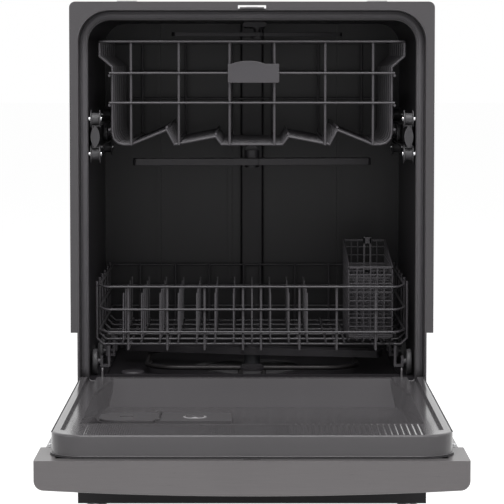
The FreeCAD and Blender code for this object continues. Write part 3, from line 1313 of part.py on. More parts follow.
def make_tub_rollers(y, z):
    """Left and right roller at one place: a tread on the rail between two wide washers."""
    rollers = []
    tread_in = ROLLER_IN + ROLLER_FLANGE_WIDTH
    tread_out = ROLLER_OUT - ROLLER_FLANGE_WIDTH
    for side in SIDES:
        bore = cross_pin(side, ROLLER_IN - 1, ROLLER_OUT + 1, y, z, STUD_RADIUS + FIT)
        rollers.append(cross_pin(side, tread_in, tread_out, y, z, ROLLER_TREAD).cut(bore))
        for inner, outer in ((ROLLER_IN, tread_in), (tread_out, ROLLER_OUT)):
            rollers.append(cross_pin(side, inner, outer, y, z, ROLLER_FLANGE).cut(bore))
    return rollers


def make_rack_wheels(y):
    """Left and right wheel that roll inside the rail."""
    wheels = []
    for side in SIDES:
        wheel = cross_pin(
            side, RAIL_INNER + 1, RAIL_OUTER - RAIL_SHEET - 1, y, RAIL_MIDDLE, RACK_WHEEL_RADIUS
        )
        bore = cross_pin(side, RAIL_INNER, RAIL_OUTER, y, RAIL_MIDDLE, AXLE_RADIUS + FIT)
        wheels.append(wheel.cut(bore))
    return wheels


def hoop_outline():
    """Half of a cross wire, from the rim down the side and in to the middle: (x, z) points."""
    low = UPPER_FLOOR
    corner = UPPER_CORNER
    return [
        (RIM_HALF, UPPER_TOP - RACK_FRAME_WIRE / 2 - SKIM),
        (RIM_HALF, UPPER_SHOULDER_TOP),
        (UPPER_BODY_HALF, UPPER_SHOULDER_FOOT),
        (UPPER_BODY_HALF, low + corner),
        (UPPER_BODY_HALF - 0.13 * corner, low + 0.5 * corner),
        (UPPER_BODY_HALF - 0.5 * corner, low + 0.13 * corner),
        (UPPER_BODY_HALF - corner, low),
        (UPPER_LONG_WIRES[2], low),
        (OUTER_CREST_X, low + OUTER_CREST),
        (OUTER_CREST_X - 13.0, low),
        (INNER_CREST_X, low + INNER_CREST),
        (INNER_CREST_X - 10.0, low),
    ]


def upper_hoop(y):
    """One cross wire: down the side, over the two humps of the floor, and up the other side."""
    half = hoop_outline()
    points = [(-x, y, z) for x, z in half] + [(x, y, z) for x, z in reversed(half)]
    return wave_wire(points, RACK_WIRE)


def height_over_hoop(x):
    """Where the middle of a long wire lies when it rests on the hoops at a distance x."""
    half = hoop_outline()[6:] + [(0.0, UPPER_FLOOR)]
    heights = []
    for (x0, z0), (x1, z1) in zip(half, half[1:]):
        if x1 - WIRE_STEP < x < x0 + WIRE_STEP:
            at = min(max(x, x1), x0)
            slope = (z1 - z0) / (x1 - x0)
            heights.append(z0 + slope * (at - x0) + WIRE_STEP * math.hypot(1, slope))
    on_crest = x in (OUTER_CREST_X, INNER_CREST_X)
    return min(heights) if on_crest else max(heights)


def upper_hoop_places():
    """Distances into the tub of the upper rack's cross wires."""
    first = UPPER_FRONT + FRAME_STEP + WIRE_STEP
    last = UPPER_BACK - FRAME_STEP - WIRE_STEP
    return [first + i * (last - first) / (UPPER_HOOPS - 1) for i in range(UPPER_HOOPS)]


def loop_wire(corners, z, diameter, bend):
    """A level closed loop of wire through (x, y) corners, as rods and elbows."""
    start = ((corners[-1][0] + corners[0][0]) / 2, (corners[-1][1] + corners[0][1]) / 2)
    points = [(x, y, z) for x, y in [start, *corners, start]]
    return bent_wire(points, diameter, bend)


def make_upper_rack():
    """Wire rack: cross hoops, long wires on and beside them, straight cross wires and a rim."""
    solids = []
    y0, y1 = UPPER_FRONT, UPPER_BACK
    hoops = upper_hoop_places()
    for y in hoops:
        solids += upper_hoop(y)
    rim = [(-RIM_HALF, y0), (RIM_HALF, y0), (RIM_HALF, y1), (-RIM_HALF, y1)]
    solids += loop_wire(rim, UPPER_TOP, RACK_FRAME_WIRE, RIM_BEND)
    cross_half = UPPER_BODY_HALF + UPPER_CROSS_OVER
    side_wires = [UPPER_LOW_SIDE_WIRE]
    for z in UPPER_CROSS_WIRES:
        side_wires.append(z - FRAME_STEP)
        for y in (y0, y1):
            solids.append(rod((-cross_half, y, z), (cross_half, y, z), RACK_FRAME_WIRE))
    for side in SIDES:
        x = side * SIDE_WIRE_HALF
        for z in side_wires:
            solids.append(rod((x, y0 - 1, z), (x, y1 + 1, z), RACK_WIRE))
        for place in UPPER_LONG_WIRES:
            x = side * place
            low = height_over_hoop(place)
            solids.append(
                rod((x, hoops[0] - RACK_WIRE / 2, low), (x, hoops[-1] + RACK_WIRE / 2, low), RACK_WIRE)
            )
            for y in (y0 + FRAME_STEP, y1 - FRAME_STEP):
                solids.append(rod((x, y, UPPER_FLOOR - 1), (x, y, UPPER_TOP - 1), RACK_WIRE))
        for place in (OUTER_CREST_X, INNER_CREST_X):
            crest = height_over_hoop(place)
            solids.append(
                rod((side * place, hoops[0] - 2, crest), (side * place, hoops[-1] + 2, crest), RACK_WIRE)
            )
        solids.append(upper_wheel_arm(side))
    return solids


def upper_wheel_arm(side):
    """Plate on the rack's side that carries the axles of its two wheels in the rail."""
    first, last = RACK_WHEEL_PLACES
    top = UPPER_CROSS_WIRES[1] + 15
    arm = side_box(side, WHEEL_ARM_IN, WHEEL_ARM_OUT, first - 22, last + 22, RAIL_MIDDLE - 10, top)
    arm = arm.cut(
        side_box(
            side, WHEEL_ARM_IN - 1, WHEEL_ARM_OUT + 1, first + 24, last - 24, RAIL_MIDDLE - 11, top - 28
        )
    )
    for y in RACK_WHEEL_PLACES:
        arm = arm.fuse(
            cross_pin(side, WHEEL_ARM_IN, RAIL_OUTER - RAIL_SHEET - 1, y, RAIL_MIDDLE, AXLE_RADIUS)
        )
        arm = arm.fuse(cross_pin(side, WHEEL_ARM_OUT, RAIL_INNER + 1 - RUN, y, RAIL_MIDDLE, 7.0))
    return arm.removeSplitter()


def make_upper_rack_handle():
    """Blank badge plate clipped on the front wires, with a low arch on its top edge."""
    front = UPPER_FRONT - RACK_FRAME_WIRE / 2 - SKIM - HANDLE_THICK
    start, end = HANDLE_ARCH
    corners = [(HANDLE_LEFT, HANDLE_SHOULDER), (HANDLE_LEFT, HANDLE_FOOT), (HANDLE_RIGHT, HANDLE_FOOT)]
    corners.append((HANDLE_RIGHT, HANDLE_SHOULDER))
    spots = [V(start, front, HANDLE_SHOULDER)]
    spots += [V(x, front, z) for x, z in corners]
    spots.append(V(end, front, HANDLE_SHOULDER))
    sides = [Part.LineSegment(a, b).toShape() for a, b in zip(spots, spots[1:])]
    crown = V((start + end) / 2, front, HANDLE_CROWN)
    sides.append(Part.Arc(spots[-1], crown, spots[0]).toShape())
    plate = Part.Face(Part.Wire(sides)).extrude(V(0, HANDLE_THICK, 0))
    low_corners = [e for e in edges_along(plate, (0, 1, 0)) if e.CenterOfMass.z < HANDLE_FOOT + 1]
    return [plate.makeFillet(3.0, low_corners)]


def make_upper_rack_feed_tube():
    """Pipe under the rack from the port in the back wall to the middle spray arm's hub."""
    port_face = TUB_DEPTH - DUCT_GAP - DUCT_DEPTH - PORT_LENGTH
    tube = Part.makeCylinder(
        FEED_RADIUS, port_face - RUN - LOWER_ARM_Y, V(0, LOWER_ARM_Y, MID_FEED_Z), V(0, 1, 0)
    )
    arm_foot = MID_ARM_TOP - ARM_THICK
    hub = upright(0, LOWER_ARM_Y, arm_foot - 0.5, MID_FEED_Z, MID_HUB_RADIUS)
    collar = upright(0, LOWER_ARM_Y, MID_ARM_TOP + RUN, MID_FEED_Z, HUB_RADIUS + 1)
    nut = upright(0, LOWER_ARM_Y, arm_foot - 4, arm_foot - RUN, HUB_RADIUS)
    hoop = upper_hoop_places()[FEED_HOOP]
    hook = box(-29, 29, hoop - 6, hoop + 6, MID_FEED_Z + 8, UPPER_FLOOR - RACK_WIRE / 2 - SKIM)
    return [tube.fuse(hub).fuse(collar).fuse(nut).fuse(hook).removeSplitter()]


# ---------------------------------------------------------------- lower rack
def wheel_carrier(side, y):
    """U-shaped bracket hung from a hoop, with the axle of one wheel."""
    wall = 4.0
    inner = LOWER_HOOP_HALF - 22.0
    outer = WHEEL_INNER - 4.3
    head = LOWER_FLOOR - RACK_WIRE / 2 - SKIM
    foot = WHEEL_Z - 8.0
    lip = WHEEL_Z + 10.0
    outline = [
        (inner, head),
        (inner, foot),
        (outer, foot),
        (outer, lip),
        (outer - wall, lip),
        (outer - wall, foot + wall),
        (inner + wall, foot + wall),
        (inner + wall, head),
    ]
    start = y - CARRIER_LENGTH / 2
    carrier = prism([(side * x, start, z) for x, z in outline], (0, CARRIER_LENGTH, 0))
    carrier = carrier.fuse(
        cross_pin(side, outer - wall, WHEEL_INNER + WHEEL_WIDTH, y, WHEEL_Z, AXLE_RADIUS)
    )
    boss = cross_pin(side, outer - wall, WHEEL_INNER - RUN, y, WHEEL_Z, 6.0)
    return carrier.fuse(boss).removeSplitter()


def make_lower_rack():
    """Wire rack: side hoops, three bars around, long wires, rows of tines, wheel carriers."""
    solids = []
    low = LOWER_FLOOR
    corner = 10.0
    half = LOWER_HOOP_HALF
    side = [(half, LOWER_TOP), (half, low + corner), (half - corner, low)]
    for y in LOWER_HOOP_PLACES:
        points = [(-x, y, z) for x, z in side] + [(x, y, z) for x, z in reversed(side)]
        solids += wave_wire(points, RACK_WIRE)
    y0, y1 = LOWER_FRONT, LOWER_BACK
    front, wide = LOWER_FRONT_HALF, LOWER_SIDE_HALF
    shoulder = LOWER_HOOP_PLACES[0] + 4
    plan = [(-front, y0), (front, y0), (wide, shoulder), (wide, y1), (-wide, y1), (-wide, shoulder)]
    for z in LOWER_BARS:
        solids += loop_wire(plan, z, RACK_FRAME_WIRE, RIM_BEND)
    top = LOWER_BARS[-1] + 2
    under = low - WIRE_STEP
    for x in [sign * place for sign in SIDES for place in LOWER_LONG_WIRES]:
        for y in (y0 + FRAME_STEP, y1 - FRAME_STEP):
            solids.append(rod((x, y, under - RACK_WIRE / 2), (x, y, top), RACK_WIRE))
        gap = FRAME_STEP + RACK_WIRE / 2 + SKIM
        solids.append(rod((x, y0 + gap, under), (x, y1 - gap, under), RACK_WIRE))
    runs = [TINE_PITCH * (i - TINE_RUNS // 2) for i in range(TINE_RUNS)]
    over = low + (RACK_WIRE + TINE_WIRE) / 2 + SKIM
    for x in runs:
        solids.append(
            rod((x, LOWER_HOOP_PLACES[0] - 4, over), (x, LOWER_HOOP_PLACES[-1] + 4, over), TINE_WIRE)
        )
    foot = over + TINE_WIRE / 2 + 0.35
    for y in TINE_ROWS:
        for x in runs[:TINE_COLUMNS]:
            solids.append(rod((x, y, foot), (x, y + TINE_LEAN, foot + TINE_HEIGHT), TINE_WIRE))
    for sign in SIDES:
        for y in LOWER_WHEEL_PLACES:
            solids.append(wheel_carrier(sign, y))
    return solids


def make_lower_wheels(y):
    """Left and right wheel that roll on the tub's tracks."""
    wheels = []
    for side in SIDES:
        wheel = cross_pin(side, WHEEL_INNER, WHEEL_INNER + WHEEL_WIDTH, y, WHEEL_Z, WHEEL_RADIUS)
        bore = cross_pin(
            side, WHEEL_INNER - 1, WHEEL_INNER + WHEEL_WIDTH + 1, y, WHEEL_Z, AXLE_RADIUS + FIT
        )
        wheels.append(wheel.cut(bore))
    return wheels


def make_silverware_basket():
    """Open basket: floor block, sloped side walls, end walls, cross walls and a carrying bar."""
    z0 = LOWER_FLOOR + RACK_WIRE / 2 + TINE_WIRE + 4 * SKIM
    floor_top = z0 + BASKET_FLOOR
    x0, x1 = BASKET_LEFT, BASKET_RIGHT
    y0, y1 = BASKET_FRONT, BASKET_FRONT + BASKET_LENGTH
    wall = BASKET_WALL
    pieces = [box(x0, x1, y0, y1, z0, floor_top)]
    side_outline = [(0, y0, floor_top), (0, y1, floor_top), (0, y1, BASKET_BACK_TOP), (0, y0, BASKET_TOP)]
    for x in (x0, x1 - wall):
        wall_solid = prism(side_outline, (wall, 0, 0))
        wall_solid.translate(V(x, 0, 0))
        pieces.append(wall_solid)
    slope = (BASKET_BACK_TOP - BASKET_TOP) / BASKET_LENGTH
    cells = BASKET_CELLS
    for i in range(cells + 1):
        y = y0 + i * (BASKET_LENGTH - wall) / cells
        height = BASKET_TOP + slope * (y - y0) - (0 if i in (0, cells) else BASKET_STEP)
        pieces.append(box(x0 + wall, x1 - wall, y, y + wall, floor_top, height))
    mid_y = (y0 + y1) / 2
    mid_x = (x0 + x1) / 2
    low = BASKET_TOP + slope * (mid_y - y0) - BASKET_STEP
    grip_top = BASKET_BACK_TOP + 12
    pieces.append(box(mid_x - 7, mid_x + 7, mid_y - wall / 2, mid_y + wall / 2, low, grip_top))
    return pieces


# ---------------------------------------------------------------- write every piece
os.makedirs("parts", exist_ok=True)

save("tub", make_tub())
save("tub_gasket", make_tub_gasket())
save("sound_blanket", make_sound_blanket())
save("strike_plate", make_strike_plate())
save("roller_studs", make_roller_studs())
save("rear_water_duct", make_rear_water_duct() + make_top_spray_hub())
save("top_spray_arm", make_top_spray_arm())
save("lower_spray_arm", make_lower_spray_arm())
save("mid_spray_arm", make_mid_spray_arm())
save("sump", make_sump())
save("filter_screen", make_filter_screen())
save("filter_cylinder", make_filter_cylinder())
save("circulation_pump", make_circulation_pump())
save("drain_pump", make_drain_pump())
save("drain_spigot", make_drain_spigot())
save("internal_hoses", make_internal_hoses())
save("inlet_valve", make_inlet_valve())
save("junction_box", make_junction_box())
save("heater_element", make_heater_element())
save("float_stem", make_float_stem())
save("float", make_float())
save("base_frame", make_base_frame())
save("toe_kick", make_toe_kick() + make_toe_kick_screws())
save("levelling_feet", make_levelling_feet())
save("mounting_brackets", make_mounting_brackets())
save("hinge_pins", make_hinge_pins())
save("door_springs", make_door_springs())

save("door_outer_panel", opened(make_door_outer_panel()))
save("door_console", opened(make_door_console()))
save("display_window", opened(make_display_window()))
save("control_board", opened(make_control_board()))
save("latch_housing", opened(make_latch_housing()))
save("latch_hook", opened(make_latch_hook()))
save("door_liner", opened(make_door_liner()))
save("dispenser_body", opened(make_dispenser_body()))
save("detergent_lid", opened(make_detergent_lid()))
save("rinse_aid_cap", opened(make_rinse_aid_cap()))
save("hinge_arms", opened(make_hinge_arms()))
save("liner_screws", opened(make_liner_screws()))
for number, place in enumerate(BUTTON_PLACES, 1):
    save("button_" + str(number), opened(make_button(place)))

save("upper_rails", make_upper_rails())
for y, end in ((ROLLER_FRONT, "front"), (ROLLER_BACK, "rear")):
    for z, level in ((ROLLER_UPPER_Z, "upper"), (ROLLER_LOWER_Z, "lower")):
        save("tub_rollers_" + end + "_" + level, make_tub_rollers(y, z))
for y, end in zip(RACK_WHEEL_PLACES, ("front", "rear")):
    save("rack_wheels_" + end, make_rack_wheels(y))
save("upper_rack", make_upper_rack())
save("upper_rack_handle", make_upper_rack_handle())
save("upper_rack_feed_tube", make_upper_rack_feed_tube())
save("lower_rack", make_lower_rack())
for number, place in enumerate(LOWER_WHEEL_PLACES, 1):
    save("lower_wheels_" + str(number), make_lower_wheels(place))
save("silverware_basket", make_silverware_basket())
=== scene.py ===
import math

import bmesh
import bpy
from mathutils import Matrix, Vector


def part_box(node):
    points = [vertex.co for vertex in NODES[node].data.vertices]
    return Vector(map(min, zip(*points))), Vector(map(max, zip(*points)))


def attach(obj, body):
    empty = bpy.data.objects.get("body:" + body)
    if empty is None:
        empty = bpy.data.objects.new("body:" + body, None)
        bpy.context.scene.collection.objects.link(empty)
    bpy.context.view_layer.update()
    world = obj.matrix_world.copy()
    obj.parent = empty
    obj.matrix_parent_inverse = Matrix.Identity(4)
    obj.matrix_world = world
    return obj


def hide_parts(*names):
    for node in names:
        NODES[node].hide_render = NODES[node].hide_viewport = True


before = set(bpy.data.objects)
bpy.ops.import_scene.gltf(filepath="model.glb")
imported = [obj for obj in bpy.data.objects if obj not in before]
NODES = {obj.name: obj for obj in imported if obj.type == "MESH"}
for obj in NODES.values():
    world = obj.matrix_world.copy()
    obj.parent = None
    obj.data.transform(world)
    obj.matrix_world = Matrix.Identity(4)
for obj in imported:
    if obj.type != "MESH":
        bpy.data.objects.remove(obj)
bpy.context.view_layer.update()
COLLECTION = bpy.context.scene.collection
MM = 0.001


# ---------------------------------------------------------------- camera, stage and light
def add_object(name, data, place=(0, 0, 0), turn=(0, 0, 0)):
    made = bpy.data.objects.new(name, data)
    made.location = place
    made.rotation_euler = turn
    COLLECTION.objects.link(made)
    return made


CAMERA_HEIGHT = 0.7605
CAMERA_BACK = 4.35
CAMERA_DOWN = math.radians(4.205)
LENS = 189.4
camera_data = bpy.data.cameras.new("camera")
camera_data.lens = LENS
camera_data.sensor_width = 36
camera = add_object(
    "camera", camera_data, (0, -CAMERA_BACK, CAMERA_HEIGHT), (math.pi / 2 - CAMERA_DOWN, 0, 0)
)
bpy.context.scene.camera = camera
bpy.context.scene.view_settings.view_transform = "Standard"


def seen_directly(nodes, links):
    """1 for rays that come from the camera, a mirror or glass, and 0 for the rest."""
    path = nodes.new("ShaderNodeLightPath")
    first = nodes.new("ShaderNodeMath")
    first.operation = "MAXIMUM"
    links.new(path.outputs["Is Camera Ray"], first.inputs[0])
    links.new(path.outputs["Is Glossy Ray"], first.inputs[1])
    both = nodes.new("ShaderNodeMath")
    both.operation = "MAXIMUM"
    links.new(first.outputs[0], both.inputs[0])
    links.new(path.outputs["Is Transmission Ray"], both.inputs[1])
    return both.outputs[0]


WORLD_LIGHT = 0.37
world = bpy.data.worlds.new("studio")
bpy.context.scene.world = world
world.use_nodes = True
tree = world.node_tree
tree.nodes.clear()
direct = seen_directly(tree.nodes, tree.links)
lit = tree.nodes.new("ShaderNodeBackground")
lit.inputs["Color"].default_value = (1, 1, 1, 1)
lit.inputs["Strength"].default_value = WORLD_LIGHT
shown = tree.nodes.new("ShaderNodeBackground")
shown.inputs["Color"].default_value = (1, 1, 1, 1)
shown.inputs["Strength"].default_value = 1.0
choice = tree.nodes.new("ShaderNodeMixShader")
out = tree.nodes.new("ShaderNodeOutputWorld")
tree.links.new(direct, choice.inputs[0])
tree.links.new(lit.outputs[0], choice.inputs[1])
tree.links.new(shown.outputs[0], choice.inputs[2])
tree.links.new(choice.outputs[0], out.inputs[0])

HALF_FLOOR = 40.0
FLOOR_GREY = 0.72
FLOOR_LIFT = 0.72           # what the camera and mirrors see on top of the lit floor
floor_mesh = bpy.data.meshes.new("floor")
floor_mesh.from_pydata(
    [
        (-HALF_FLOOR, -HALF_FLOOR, 0),
        (HALF_FLOOR, -HALF_FLOOR, 0),
        (HALF_FLOOR, HALF_FLOOR, 0),
        (-HALF_FLOOR, HALF_FLOOR, 0),
    ],
    [],
    [(0, 1, 2, 3)],
)
floor = add_object("floor", floor_mesh)
floor_paint = bpy.data.materials.new("floor")
floor_paint.use_nodes = True
tree = floor_paint.node_tree
tree.nodes.clear()
direct = seen_directly(tree.nodes, tree.links)
paint = tree.nodes.new("ShaderNodeBsdfDiffuse")
paint.inputs["Color"].default_value = (FLOOR_GREY, FLOOR_GREY, FLOOR_GREY, 1)
glow = tree.nodes.new("ShaderNodeEmission")
glow.inputs["Strength"].default_value = FLOOR_LIFT
lift = tree.nodes.new("ShaderNodeAddShader")
choice = tree.nodes.new("ShaderNodeMixShader")
out = tree.nodes.new("ShaderNodeOutputMaterial")
tree.links.new(paint.outputs[0], lift.inputs[0])
tree.links.new(glow.outputs[0], lift.inputs[1])
tree.links.new(direct, choice.inputs[0])
tree.links.new(paint.outputs[0], choice.inputs[1])
tree.links.new(lift.outputs[0], choice.inputs[2])
tree.links.new(choice.outputs[0], out.inputs[0])
floor_mesh.materials.append(floor_paint)


def softbox(name, place, target, width, height, watts):
    data = bpy.data.lights.new(name, "AREA")
    data.shape = "RECTANGLE"
    data.size = width
    data.size_y = height
    data.energy = watts
    aim = (Vector(target) - Vector(place)).to_track_quat("-Z", "Y").to_euler()
    return add_object(name, data, place, aim)


softbox("front_high", (0, -3.2, 3.0), (0, 0, 0.45), 3.0, 1.6, 26)
softbox("overhead", (0, -1.3, 2.8), (0, -0.45, 0.2), 2.2, 1.4, 70)
softbox("left", (-3.0, -2.2, 1.6), (0, -0.1, 0.45), 1.4, 2.2, 16)
softbox("right", (3.0, -2.2, 1.6), (0, -0.1, 0.45), 1.4, 2.2, 16)


# ---------------------------------------------------------------- materials
PAINTED_SHADE_START = 0.031         # Y in metres where a painted shade starts to darken the tub's inside behind its seal
PAINTED_SHADE_END = 0.036
ROUGH_SPREAD = 0.05
RELIEF_DEPTH = 0.0004


def linear(value):
    value /= 255
    return value / 12.92 if value <= 0.04045 else ((value + 0.055) / 1.055) ** 2.4


def shade(red, green, blue):
    return (linear(red), linear(green), linear(blue), 1.0)


def scaled(colour, factor):
    return tuple(min(1.0, c * factor) for c in colour[:3]) + (1.0,)


def finish(
    name,
    colour,
    roughness,
    metallic=0.0,
    grain=(700, 700, 700),
    variation=0.10,
    bump=0.05,
    cloud=6.0,
    cloud_share=0.06,
    coat=0.0,
    specular=0.3,
    inside=None,
):
    """Colour and roughness that vary with a fine grain and a broad cloud, and a fine bump.

    inside is a painted shade: a darker colour for the tub behind its seal, standing in for the shade in its
    cavity.
    """
    made = bpy.data.materials.new(name)
    made.use_nodes = True
    nodes = made.node_tree.nodes
    links = made.node_tree.links
    bsdf = nodes["Principled BSDF"]
    bsdf.inputs["Metallic"].default_value = metallic
    bsdf.inputs["Specular IOR Level"].default_value = specular
    bsdf.inputs["Coat Weight"].default_value = coat
    bsdf.inputs["Coat Roughness"].default_value = 0.2
    place = nodes.new("ShaderNodeTexCoord")
    stretch = nodes.new("ShaderNodeMapping")
    stretch.inputs["Scale"].default_value = grain
    links.new(place.outputs["Object"], stretch.inputs["Vector"])
    fine = nodes.new("ShaderNodeTexNoise")
    fine.inputs["Scale"].default_value = 1.0
    fine.inputs["Detail"].default_value = 3.0
    links.new(stretch.outputs[0], fine.inputs["Vector"])
    broad = nodes.new("ShaderNodeTexNoise")
    broad.inputs["Scale"].default_value = cloud
    broad.inputs["Detail"].default_value = 2.0
    links.new(place.outputs["Object"], broad.inputs["Vector"])
    fine_colour = nodes.new("ShaderNodeMix")
    fine_colour.data_type = "RGBA"
    fine_colour.inputs["A"].default_value = scaled(colour, 1 - variation)
    fine_colour.inputs["B"].default_value = scaled(colour, 1 + variation)
    links.new(fine.outputs["Fac"], fine_colour.inputs["Factor"])
    cloudy = nodes.new("ShaderNodeMix")
    cloudy.data_type = "RGBA"
    cloudy.blend_type = "MULTIPLY"
    cloudy.inputs["Factor"].default_value = 1.0
    tone = nodes.new("ShaderNodeMapRange")
    tone.inputs["To Min"].default_value = 1 - cloud_share
    tone.inputs["To Max"].default_value = 1 + cloud_share
    links.new(broad.outputs["Fac"], tone.inputs["Value"])
    links.new(fine_colour.outputs["Result"], cloudy.inputs["A"])
    links.new(tone.outputs["Result"], cloudy.inputs["B"])
    base = cloudy.outputs["Result"]
    # painted shade: the tub's colour is darkened behind its seal, for the shade inside the cavity
    if inside:
        parts = nodes.new("ShaderNodeSeparateXYZ")
        links.new(place.outputs["Object"], parts.inputs[0])
        painted_shade_mask = nodes.new("ShaderNodeMapRange")
        painted_shade_mask.inputs["From Min"].default_value = PAINTED_SHADE_START
        painted_shade_mask.inputs["From Max"].default_value = PAINTED_SHADE_END
        links.new(parts.outputs["Y"], painted_shade_mask.inputs["Value"])
        painted_shade = nodes.new("ShaderNodeMix")
        painted_shade.data_type = "RGBA"
        painted_shade.blend_type = "MULTIPLY"
        painted_shade.inputs["B"].default_value = tuple(b / a for a, b in zip(colour[:3], inside[:3])) + (1.0,)
        links.new(painted_shade_mask.outputs["Result"], painted_shade.inputs["Factor"])
        links.new(base, painted_shade.inputs["A"])
        base = painted_shade.outputs["Result"]
    links.new(base, bsdf.inputs["Base Color"])
    rough = nodes.new("ShaderNodeMapRange")
    rough.inputs["To Min"].default_value = max(ROUGH_SPREAD, roughness - ROUGH_SPREAD)
    rough.inputs["To Max"].default_value = min(1.0, roughness + ROUGH_SPREAD)
    links.new(fine.outputs["Fac"], rough.inputs["Value"])
    links.new(rough.outputs["Result"], bsdf.inputs["Roughness"])
    relief = nodes.new("ShaderNodeBump")
    relief.inputs["Strength"].default_value = bump
    relief.inputs["Distance"].default_value = RELIEF_DEPTH
    links.new(fine.outputs["Fac"], relief.inputs["Height"])
    links.new(relief.outputs["Normal"], bsdf.inputs["Normal"])
    return made


BRUSHED = (25, 900, 900)
FINE = (900, 900, 900)
# the tub's inside colour, shade(34, 32, 35), is a painted shade, not a different plastic
TUB = finish(
    "tub_grey", shade(73, 71, 73), 0.34, grain=FINE, variation=0.06, bump=0.03, inside=shade(34, 32, 35)
)
LINER = finish("liner_grey", shade(82, 80, 82), 0.16, grain=FINE, variation=0.05, bump=0.02)
CONSOLE = finish(
    "console_grey", shade(100, 97, 98), 0.3, metallic=0.35, grain=BRUSHED, variation=0.08, bump=0.04
)
SKIN = finish(
    "brushed_steel", shade(112, 109, 110), 0.3, metallic=0.9, grain=BRUSHED, variation=0.12, bump=0.06
)
RACK = finish("rack_coating", shade(72, 70, 73), 0.32, grain=FINE, variation=0.08, bump=0.05)
WHEEL = finish("wheel_plastic", shade(74, 73, 75), 0.45, grain=FINE, variation=0.06)
ZINC = finish("zinc_steel", shade(176, 176, 178), 0.32, metallic=0.9, grain=(300, 300, 300), variation=0.14)
RAIL = finish("rail_steel", shade(70, 69, 71), 0.34, metallic=0.5, grain=BRUSHED, variation=0.06)
SCREEN = finish("filter_steel", shade(96, 95, 97), 0.4, metallic=0.6, grain=(300, 300, 300), variation=0.12)
PLATE = finish("strike_steel", shade(112, 111, 113), 0.42, metallic=0.7, grain=BRUSHED, variation=0.1)
STEEL = finish("bright_steel", shade(205, 205, 207), 0.22, metallic=1.0, grain=BRUSHED, variation=0.06)
RUBBER = finish("seal_rubber", shade(40, 39, 41), 0.62, grain=(500, 500, 500), variation=0.12)
FELT = finish("felt", shade(88, 86, 84), 0.95, grain=(380, 380, 380), variation=0.35, bump=0.7)
SPRAY = finish("spray_plastic", shade(46, 44, 47), 0.42, grain=FINE)
BASKET = finish("basket_plastic", shade(56, 54, 57), 0.46, grain=FINE)
KICK = finish("kick_paint", shade(17, 15, 18), 0.55, grain=FINE, variation=0.1)
DISPENSER = finish("dispenser_plastic", shade(80, 78, 80), 0.36, grain=FINE, variation=0.05)
WINDOW = finish("smoked_window", shade(18, 18, 20), 0.12, grain=FINE, variation=0.1, coat=0.4)
BOARD = finish("board", shade(34, 92, 58), 0.5, grain=(240, 240, 240), variation=0.25)
PUMP = finish("pump_plastic", shade(70, 71, 74), 0.5, grain=FINE)
HOSE = finish("hose_rubber", shade(46, 46, 47), 0.55, grain=(500, 500, 500), variation=0.14)
NATURAL = finish("natural_plastic", shade(206, 204, 196), 0.42, grain=FINE)
SEAL = finish("seal_grey", shade(84, 82, 85), 0.55, grain=(500, 500, 500), variation=0.08)
LIP = finish("lip_grey", shade(96, 94, 96), 0.35, grain=FINE, variation=0.06)
PALE = finish("pale_print", shade(168, 166, 168), 0.45, grain=FINE, variation=0.05)
HEATER = finish("heater_metal", shade(46, 44, 45), 0.4, metallic=0.4, grain=(400, 400, 400), variation=0.2)

FINISHES = {
    "tub": TUB,
    "tub_gasket": RUBBER,
    "sound_blanket": FELT,
    "strike_plate": PLATE,
    "roller_studs": STEEL,
    "rear_water_duct": SPRAY,
    "top_spray_arm": SPRAY,
    "lower_spray_arm": SPRAY,
    "mid_spray_arm": SPRAY,
    "sump": PUMP,
    "filter_screen": SCREEN,
    "filter_cylinder": SPRAY,
    "circulation_pump": PUMP,
    "drain_pump": PUMP,
    "drain_spigot": NATURAL,
    "internal_hoses": HOSE,
    "inlet_valve": NATURAL,
    "junction_box": ZINC,
    "heater_element": HEATER,
    "float_stem": NATURAL,
    "float": SPRAY,
    "base_frame": ZINC,
    "toe_kick": KICK,
    "levelling_feet": ZINC,
    "mounting_brackets": ZINC,
    "hinge_pins": STEEL,
    "door_springs": ZINC,
    "door_outer_panel": SKIN,
    "door_console": CONSOLE,
    "display_window": WINDOW,
    "control_board": BOARD,
    "latch_housing": SPRAY,
    "latch_hook": STEEL,
    "door_liner": LINER,
    "dispenser_body": DISPENSER,
    "detergent_lid": DISPENSER,
    "rinse_aid_cap": DISPENSER,
    "hinge_arms": ZINC,
    "liner_screws": STEEL,
    "upper_rails": RAIL,
    "upper_rack": RACK,
    "upper_rack_handle": RACK,
    "upper_rack_feed_tube": SPRAY,
    "lower_rack": RACK,
    "silverware_basket": BASKET,
}
for name in NODES:
    if name.startswith("button_"):
        FINISHES[name] = CONSOLE
    if name.startswith(("tub_rollers", "rack_wheels", "lower_wheels")):
        FINISHES[name] = WHEEL


FLAT_ANGLE = math.radians(0.4)
BEVEL_ANGLE = math.radians(40)
SHARP_ANGLE = math.radians(46)


def dress(node, material, edge=0.0):
    """A CAD node's finish, with flat faces joined up, softened edges and even shading."""
    shown_mesh = node.data
    shown_mesh.materials.clear()
    shown_mesh.materials.append(material)
    if "custom_normal" in shown_mesh.attributes:
        shown_mesh.attributes.remove(shown_mesh.attributes["custom_normal"])
    for polygon in shown_mesh.polygons:
        polygon.use_smooth = True
        polygon.material_index = 0
    weld = node.modifiers.new("weld", "WELD")
    weld.merge_threshold = 0.000005
    if edge:
        flat = node.modifiers.new("flat", "DECIMATE")
        flat.decimate_type = "DISSOLVE"
        flat.angle_limit = FLAT_ANGLE
        bevel = node.modifiers.new("bevel", "BEVEL")
        bevel.width = edge * MM
        bevel.segments = 2
        bevel.limit_method = "ANGLE"
        bevel.angle_limit = BEVEL_ANGLE
        bevel.use_clamp_overlap = True
    split = node.modifiers.new("split", "EDGE_SPLIT")
    split.split_angle = SHARP_ANGLE
    even = node.modifiers.new("even", "WEIGHTED_NORMAL")
    even.weight = 80


